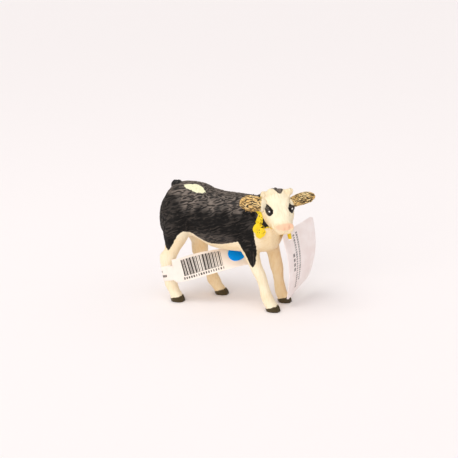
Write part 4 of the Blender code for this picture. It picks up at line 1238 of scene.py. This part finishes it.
def print_tree():
    """Geometry nodes that print a row of marks with random widths and gaps."""
    sizes = [(name, "Float") for name in ("Pitch", "Height", "Thickness", "Narrowest", "Widest")]
    sockets = [("Count", "Int"), *sizes, ("Seed", "Int"), ("Material", "Material")]
    tree, start = new_group("printed marks", sockets)
    stride = combine(tree, start["Pitch"], 0.0, 0.0)
    line = add(tree, "GeometryNodeMeshLine", {0: start["Count"], 3: stride}).outputs[0]
    inputs = {2: start["Narrowest"], 3: start["Widest"], 8: start["Seed"]}
    width = add(tree, "FunctionNodeRandomValue", inputs).outputs[1]
    size = combine(tree, times(tree, width, start["Pitch"]), start["Height"], start["Thickness"])
    mark = add(tree, "GeometryNodeMeshCube", {0: (1, 1, 1), 1: 2, 2: 14, 3: 2}).outputs[0]
    placed = add(tree, "GeometryNodeInstanceOnPoints", {0: line, 2: mark, 6: size})
    end_group(tree, placed, start["Material"])
    return tree


def print_height(thickness):
    """How far print lies above the middle of a sheet, in millimetres."""
    return thickness / MM / 2 + PRINT_RISE


def print_marks(name, finish, rows, onto, above, turned=False):
    """Prints rows of marks and lays them onto a surface, a little above it, in millimetres."""
    tree = print_tree()
    pieces = []
    for seed, (start, middle, count, pitch, height, narrowest, widest) in enumerate(rows):
        values = {
            "Count": count,
            "Pitch": pitch,
            "Height": height,
            "Thickness": PRINT_THICK,
            "Narrowest": narrowest,
            "Widest": widest,
            "Seed": seed + FIRST_SEED,
            "Material": finish,
        }
        piece = run_tree(new_object("marks", bpy.data.meshes.new("marks")), tree, values)
        flat = coords(piece.data) + np.array((start, middle, above))
        if turned:
            flat = np.stack([middle * 2 - flat[:, 1], flat[:, 0], flat[:, 2]], 1)
        move_points(piece.data, onto(flat))
        pieces.append(piece)
    shape = bmesh.new()
    for piece in pieces:
        shape.from_mesh(piece.data)
        bpy.data.objects.remove(piece, do_unlink=True)
    bmesh.ops.recalc_face_normals(shape, faces=shape.faces)
    made = object_from(name, shape, finish)
    made.data.shade_flat()
    return made


def loop_grid():
    """The loop of the label round the leg, as a closed ring of rows."""
    skin = tree_of("right_hind_leg")
    middle = np.array(LOOP_MIDDLE)
    rows = []
    for angle in np.linspace(0, 2 * math.pi, 72, endpoint=False):
        way = np.array((math.cos(angle), math.sin(angle), 0))
        row = []
        for share in np.linspace(-0.5, 0.5, 6):
            level = share * LOOP_WIDTH + LOOP_SLOPE * way[0] * LEG_HALF
            centre = middle + np.array((-level * LEG_LEAN, 0, level))
            hit = skin.ray_cast(Vector(centre * MM + way * 12 * MM), Vector(-way))[0]
            row.append(np.array(hit) + way * LOOP_OFF * MM)
        rows.append(row)
    grid = np.array(rows)
    # The paper can't follow each hollow of the leg, so neighbours are evened out.
    for _ in range(10):
        grid = (np.roll(grid, 1, 0) + grid * 2 + np.roll(grid, -1, 0)) / 4
    return grid


def on_loop(points):
    """Moves flat points, as length round the leg, height and stand-off in millimetres, onto the loop."""
    grid = loop_grid()
    rows, columns = grid.shape[:2]
    angle = LOOP_PRINT + points[:, 0] / LOOP_RADIUS
    turn = angle / (2 * math.pi) * rows
    level = np.clip((points[:, 1] / LOOP_WIDTH + 0.5) * (columns - 1), 0, columns - 1.001)
    row, column = np.floor(turn).astype(int), np.floor(level).astype(int)
    across, up = (turn - row)[:, None], (level - column)[:, None]
    low = grid[row % rows, column] * (1 - across) + grid[(row + 1) % rows, column] * across
    high = grid[row % rows, column + 1] * (1 - across) + grid[(row + 1) % rows, column + 1] * across
    out = np.stack([np.cos(angle), np.sin(angle), np.zeros(len(angle))], 1)
    return low * (1 - up) + high * up + out * points[:, 2:3] * MM


def tree_of(node):
    mesh = frame["nodes"][node].data
    points = [vert.co for vert in mesh.vertices]
    return BVHTree.FromPolygons(points, [face.vertices for face in mesh.polygons])


class CalfLabelOperator(bpy.types.Operator):
    """Makes the paper label with its loop, printed bars and dashes"""

    bl_idname = "calf.label"
    bl_label = "Label"

    def execute(self, context):
        props = tag_props()
        finish = paper("coated_label_paper", props.label, linear(PAPER_TINT), 5 * MM)
        lower, rise, _, width, _ = label_lines()
        shares = np.linspace(0, 1, 9)[None, :, None]
        grid = lower[:, None, :] + rise[:, None, :] * width[:, None, None] * shares
        panel = strip("label_panel", grid * MM, props.paper_thickness)
        loop = strip("label_loop", loop_grid(), props.paper_thickness, closed=True)
        for thing in (panel, loop):
            thing.data.materials.append(finish)
        place_piece(panel, "label", "leg_label")
        place_trim(loop, "label")
        black = ink()
        pitch = props.bar_pitch / MM
        count = int(BAR_RUN / pitch)
        bars = [(start, BAR_MIDDLE, count, pitch, BAR_HEIGHT, *widths) for start, *widths in BAR_ROWS]
        prints = (
            ("label_bars", bars, on_label),
            ("label_dashes", LABEL_DASHES, on_label),
            ("loop_dashes", LOOP_DASHES, on_loop),
        )
        for name, rows, onto in prints:
            marks = print_marks(name, black, rows, onto, print_height(props.paper_thickness))
            place_trim(marks, "label")
        return {"FINISHED"}


class CalfDotOperator(bpy.types.Operator):
    """Makes the round sticker, which lies on the label"""

    bl_idname = "calf.dot"
    bl_label = "Round sticker"

    def execute(self, context):
        props = tag_props()
        radius = props.dot_radius / MM
        shape = bmesh.new()
        rings = []
        base = props.paper_thickness / MM / 2 + 0.01
        angles = np.linspace(0, 2 * math.pi, DOT_SIDES, endpoint=False)
        along, tall = radius - DOT_FIT[0], radius + DOT_FIT[1]
        for share, level in DOT_LAYERS:
            flat = np.stack([
                DOT_PLACE + share * along * np.cos(angles),
                np.minimum(DOT_ACROSS + share * tall * np.sin(angles), DOT_CUT),
                np.full(DOT_SIDES, base + level),
            ], 1)
            rings.append([shape.verts.new(point) for point in on_label(flat)])
        for low, high in zip(rings, rings[1:]):
            for place in range(DOT_SIDES):
                after = (place + 1) % DOT_SIDES
                shape.faces.new((low[place], low[after], high[after], high[place]))
        shape.faces.new(rings[0][::-1])
        shape.faces.new(rings[-1])
        bmesh.ops.recalc_face_normals(shape, faces=shape.faces)
        dot = object_from("round_sticker", shape)
        dot.data.materials.append(sticker_vinyl())
        place_piece(dot, "label", "price_dot")
        return {"FINISHED"}


def leaf_axes(down):
    """The ways across and out of the leaf at a share of its height."""
    across = LEAF_ACROSS_TOP.lerp(LEAF_ACROSS_LOW, down).normalized()
    return across, LEAF_DOWN.cross(across).normalized()


def leaf_reach(across, down):
    """From the leaf's corner to a place across and down it, in millimetres."""
    share = down / LEAF_SIZE[1]
    side, out = leaf_axes(share)
    bow = math.sin(math.pi * min(max(share, 0), 1)) * LEAF_BOW
    return side * across + LEAF_DOWN * down + out * bow


def on_leaf(points):
    """Moves flat points, as places across, down and out in millimetres, onto the leaf."""
    corner = Vector(LEAF_SLIT) - leaf_reach(*SLIT_AT)
    found = []
    for across, down, out in points:
        side, way = leaf_axes(down / LEAF_SIZE[1])
        found.append(corner + leaf_reach(across, down) + way * out)
    return np.array(found) * MM


class CalfLeafOperator(bpy.types.Operator):
    """Makes the card leaf with its slit and grey printed dashes"""

    bl_idname = "calf.leaf"
    bl_label = "Card leaf"

    def execute(self, context):
        props = tag_props()
        shape = bmesh.new()
        columns, rows = LEAF_GRID
        verts = {}
        for row in range(rows + 1):
            for column in range(columns + 1):
                across, down = rounded_place(column / columns, row / rows)
                verts[row, column] = shape.verts.new(on_leaf([(across, down, 0)])[0])
        slit_rows, slit_columns = slit_cells(columns, rows)
        for row in range(rows):
            for column in range(columns):
                if row in slit_rows and column in slit_columns:
                    continue
                shape.faces.new((
                    verts[row, column],
                    verts[row, column + 1],
                    verts[row + 1, column + 1],
                    verts[row + 1, column],
                ))
        leaf = thicken(object_from("leaf_card", shape), props.card_thickness, CARD_ROUNDING)
        leaf.data.materials.append(paper("leaf_card_stock", props.leaf, linear(CARD_TINT), 6 * MM))
        place_piece(leaf, "leaf", "tag_leaf")
        above = print_height(props.card_thickness)
        marks = print_marks("leaf_print", grey_ink(), LEAF_DASHES, on_leaf, above, turned=True)
        place_trim(marks, "leaf")
        return {"FINISHED"}


def rounded_place(across, down):
    """A place on the flat leaf from shares of its sides, drawn in at the round corners."""
    width, height = LEAF_SIZE
    y = down * height
    short = max(LEAF_CORNER - min(y, height - y), 0)
    inset = LEAF_CORNER - math.sqrt(LEAF_CORNER**2 - short**2)
    return inset + across * (width - 2 * inset), y


def slit_cells(columns, rows):
    """Which rows and columns of the leaf's grid the slit takes."""
    wide = LEAF_SIZE[0] / columns
    high = LEAF_SIZE[1] / rows
    left = SLIT_AT[0] - SLIT_HALF[0] - wide / 2
    right = SLIT_AT[0] + SLIT_HALF[0] + wide / 2
    top = SLIT_AT[1] - SLIT_HALF[1]
    foot = SLIT_AT[1] + SLIT_HALF[1]
    taken_columns = [place for place in range(columns) if left < (place + 0.5) * wide < right]
    taken_rows = [place for place in range(rows) if top < (place + 0.5) * high < foot]
    return taken_rows, taken_columns


class CalfStrapOperator(bpy.types.Operator):
    """Makes the yellow strap round the neck and its tab through the leaf's slit"""

    bl_idname = "calf.strap"
    bl_label = "Strap"

    def execute(self, context):
        props = tag_props()
        skins = [tree_of("torso"), tree_of("head")]
        path = curve_through(STRAP_ROWS, 8, True)
        grid = []
        ways = np.roll(path, -1, 0) - np.roll(path, 1, 0)
        for place, way in zip(path, ways):
            spot = Vector(place[:3] * MM)
            hits = [skin.find_nearest(spot) for skin in skins]
            normal = min(hits, key=itemgetter(3))[1]
            half = normal.cross(Vector(way[:3])).normalized() * place[3] * MM / 2
            row = []
            for share in np.linspace(-1, 1, 7):
                row.append(list(clear_of(skins, spot + half * share, STRAP_CLEAR)))
            grid.append(row)
        strap = strip("strap_band", np.array(grid), props.film_thickness, closed=True)
        finish = strap_film()
        strap.data.materials.append(finish)
        place_piece(strap, "figure", "tag_strap")
        for piece in (tab_piece(), flap_piece(skins, props.film_thickness)):
            piece.data.materials.append(finish)
            place_trim(piece, "figure")
        return {"FINISHED"}


def clear_of(skins, place, distance):
    """The place, or the nearest one that clears each skin by the distance."""
    for skin in skins:
        spot, normal, _, _ = skin.find_nearest(place)
        if (place - spot).dot(normal) < distance:
            place = spot + normal * distance
    return place


def drape(skins, place, way, deepest):
    """Lays a place on the skin, seen against a way, but no deeper than a distance behind it."""
    reach = 8 * MM
    hits = [skin.ray_cast(place + way * reach, -way)[3] for skin in skins]
    nearest = min([hit for hit in hits if hit is not None] + [reach + deepest])
    return place + way * (reach - min(nearest, reach + deepest))


def flap_piece(skins, thickness):
    """The strap's spread end, a crumpled round leaf of film that lies on the shoulder."""
    middle = Vector(FLAP_PLACE) * MM
    side = Vector((0, 0, 1)).cross(FLAP_WAY).normalized()
    up = FLAP_WAY.cross(side)
    grid = []
    for turn in np.linspace(0, 2 * math.pi, 40, endpoint=False):
        right, high = math.cos(turn), math.sin(turn)
        edge = 1 + 0.07 * math.sin(3 * turn + 1) + 0.04 * math.sin(7 * turn)
        row = []
        for share in np.linspace(0.02, 1, 9):
            reach = share * edge * MM
            spot = middle + side * right * FLAP_REACH[0] * reach + up * high * FLAP_REACH[1] * reach
            fold = 0.5 + 0.16 * math.sin(6.6 * right * share) + 0.1 * math.cos(9 * high * share)
            row.append(list(drape(skins, spot, FLAP_WAY, FLAP_DEEPEST) + FLAP_WAY * fold * MM))
        grid.append(row)
    return strip("strap_flap", np.array(grid), thickness, closed=True)


def tab_piece():
    """The strap's folded end, a flat toggle that reaches through the slit."""
    side, out = leaf_axes(SLIT_AT[1] / LEAF_SIZE[1])
    down = side.cross(out).normalized()
    shape = bmesh.new()
    bmesh.ops.create_cube(shape, size=1)
    turn = Matrix((down, side, out)).transposed().to_4x4()
    middle = Vector(LEAF_SLIT) * MM - out * TAB_BACK * MM
    size = Matrix.Diagonal((*TAB_SIZE, 1))
    bmesh.ops.transform(shape, matrix=Matrix.Translation(middle) @ turn @ size, verts=shape.verts)
    tab = object_from("strap_tab", shape)
    edge = tab.modifiers.new("edge", "BEVEL")
    edge.width = TAB_EDGE
    edge.segments = 3
    return bake(tab)


class CalfStageOperator(bpy.types.Operator):
    """Makes the floor, the surround, the soft lamps and the camera"""

    bl_idname = "calf.stage"
    bl_label = "Stage"

    def execute(self, context):
        props = context.scene.calf_stage
        shape = bmesh.new()
        bmesh.ops.create_circle(shape, cap_ends=True, segments=96, radius=FLOOR_RADIUS)
        bmesh.ops.recalc_face_normals(shape, faces=shape.faces)
        floor = object_from("floor", shape)
        floor.data.materials.append(floor_paper())
        make_surround(props)
        key = add_lamp("key_light", "SUN", KEY_PLACE, props.key)
        key.data.angle = KEY_SPREAD
        front = add_lamp("front_light", "SUN", FRONT_PLACE, props.front)
        front.data.angle = FRONT_SPREAD
        front.visible_glossy = False
        top = add_lamp("top_softbox", "AREA", TOP_PLACE, props.top_power)
        top.data.shape = "DISK"
        top.data.size = TOP_SIZE
        make_camera(props)
        context.scene.view_settings.view_transform = "Standard"
        return {"FINISHED"}


def make_surround(props):
    """A plain light world that the camera and the gloss see as pale paper."""
    world = bpy.data.worlds.new("surround")
    bpy.context.scene.world = world
    world.use_nodes = True
    tree = world.node_tree
    tree.nodes.clear()
    rays = add(tree, "ShaderNodeLightPath").outputs
    light = add(tree, "ShaderNodeBackground", {0: (1, 1, 1, 1), 1: props.fill}).outputs[0]
    gloss = add(tree, "ShaderNodeBackground", {0: (1, 1, 1, 1), 1: props.gloss}).outputs[0]
    sight = add(tree, "ShaderNodeBackground", {0: (*props.sky, 1), 1: 1.0}).outputs[0]
    both = add(tree, "ShaderNodeMixShader", {0: rays["Is Glossy Ray"], 1: light, 2: gloss}).outputs[0]
    both = add(tree, "ShaderNodeMixShader", {0: rays["Is Camera Ray"], 1: both, 2: sight}).outputs[0]
    add(tree, "ShaderNodeOutputWorld", {"Surface": both})


def add_lamp(name, kind, place, power):
    """Adds a lamp that shines on the calf."""
    lamp = bpy.data.lights.new(name, kind)
    lamp.energy = power
    thing = new_object(name, lamp)
    aim = (LAMP_AIM - place).to_track_quat("-Z", "Y").to_matrix().to_4x4()
    thing.matrix_world = Matrix.Translation(place) @ aim
    return thing


def make_camera(props):
    """The camera at the photograph's place, level, with no shift."""
    back = Vector((
        math.sin(CAMERA_AZIMUTH) * math.cos(CAMERA_ELEVATION),
        -math.cos(CAMERA_AZIMUTH) * math.cos(CAMERA_ELEVATION),
        math.sin(CAMERA_ELEVATION),
    ))
    right = Vector((math.cos(CAMERA_AZIMUTH), math.sin(CAMERA_AZIMUTH), 0))
    turn = Matrix((right, back.cross(right), back)).transposed().to_4x4()
    data = bpy.data.cameras.new("camera")
    data.lens = props.lens
    data.clip_start = 0.01
    camera = new_object("camera", data)
    camera.matrix_world = Matrix.Translation(CAMERA_PLACE) @ turn
    bpy.context.scene.camera = camera


OPERATORS = (
    CalfStageOperator,
    CalfSkinOperator,
    CalfTailOperator,
    CalfEarsOperator,
    CalfLabelOperator,
    CalfDotOperator,
    CalfStrapOperator,
    CalfLeafOperator,
)
GROUPS = {"calf_skin": CalfSkinProps, "calf_tags": CalfTagProps, "calf_stage": CalfStageProps}


class CalfPanel(bpy.types.Panel):
    """Lists the sizes and colours, and the steps that dress the calf"""

    bl_idname = "VIEW3D_PT_calf"
    bl_label = "Toy calf"
    bl_space_type = "VIEW_3D"
    bl_region_type = "UI"
    bl_category = "Calf"

    def draw(self, context):
        for name, group in GROUPS.items():
            box = self.layout.box()
            for prop in group.__annotations__:
                box.prop(getattr(context.scene, name), prop)
        for operator in OPERATORS:
            self.layout.operator(operator.bl_idname)


def register():
    for item in (*GROUPS.values(), *OPERATORS, CalfPanel):
        bpy.utils.register_class(item)
    for name, group in GROUPS.items():
        setattr(bpy.types.Scene, name, bpy.props.PointerProperty(type=group))


def unregister():
    for name in GROUPS:
        delattr(bpy.types.Scene, name)
    for item in (CalfPanel, *OPERATORS, *GROUPS.values()):
        bpy.utils.unregister_class(item)


def main():
    register()
    bpy.ops.calf.stage()
    bpy.ops.calf.skin()
    bpy.ops.calf.tail()
    bpy.ops.calf.ears()
    bpy.ops.calf.label()
    bpy.ops.calf.dot()
    bpy.ops.calf.strap()
    bpy.ops.calf.leaf()
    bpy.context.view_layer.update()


if __name__ == "__main__":
    main()
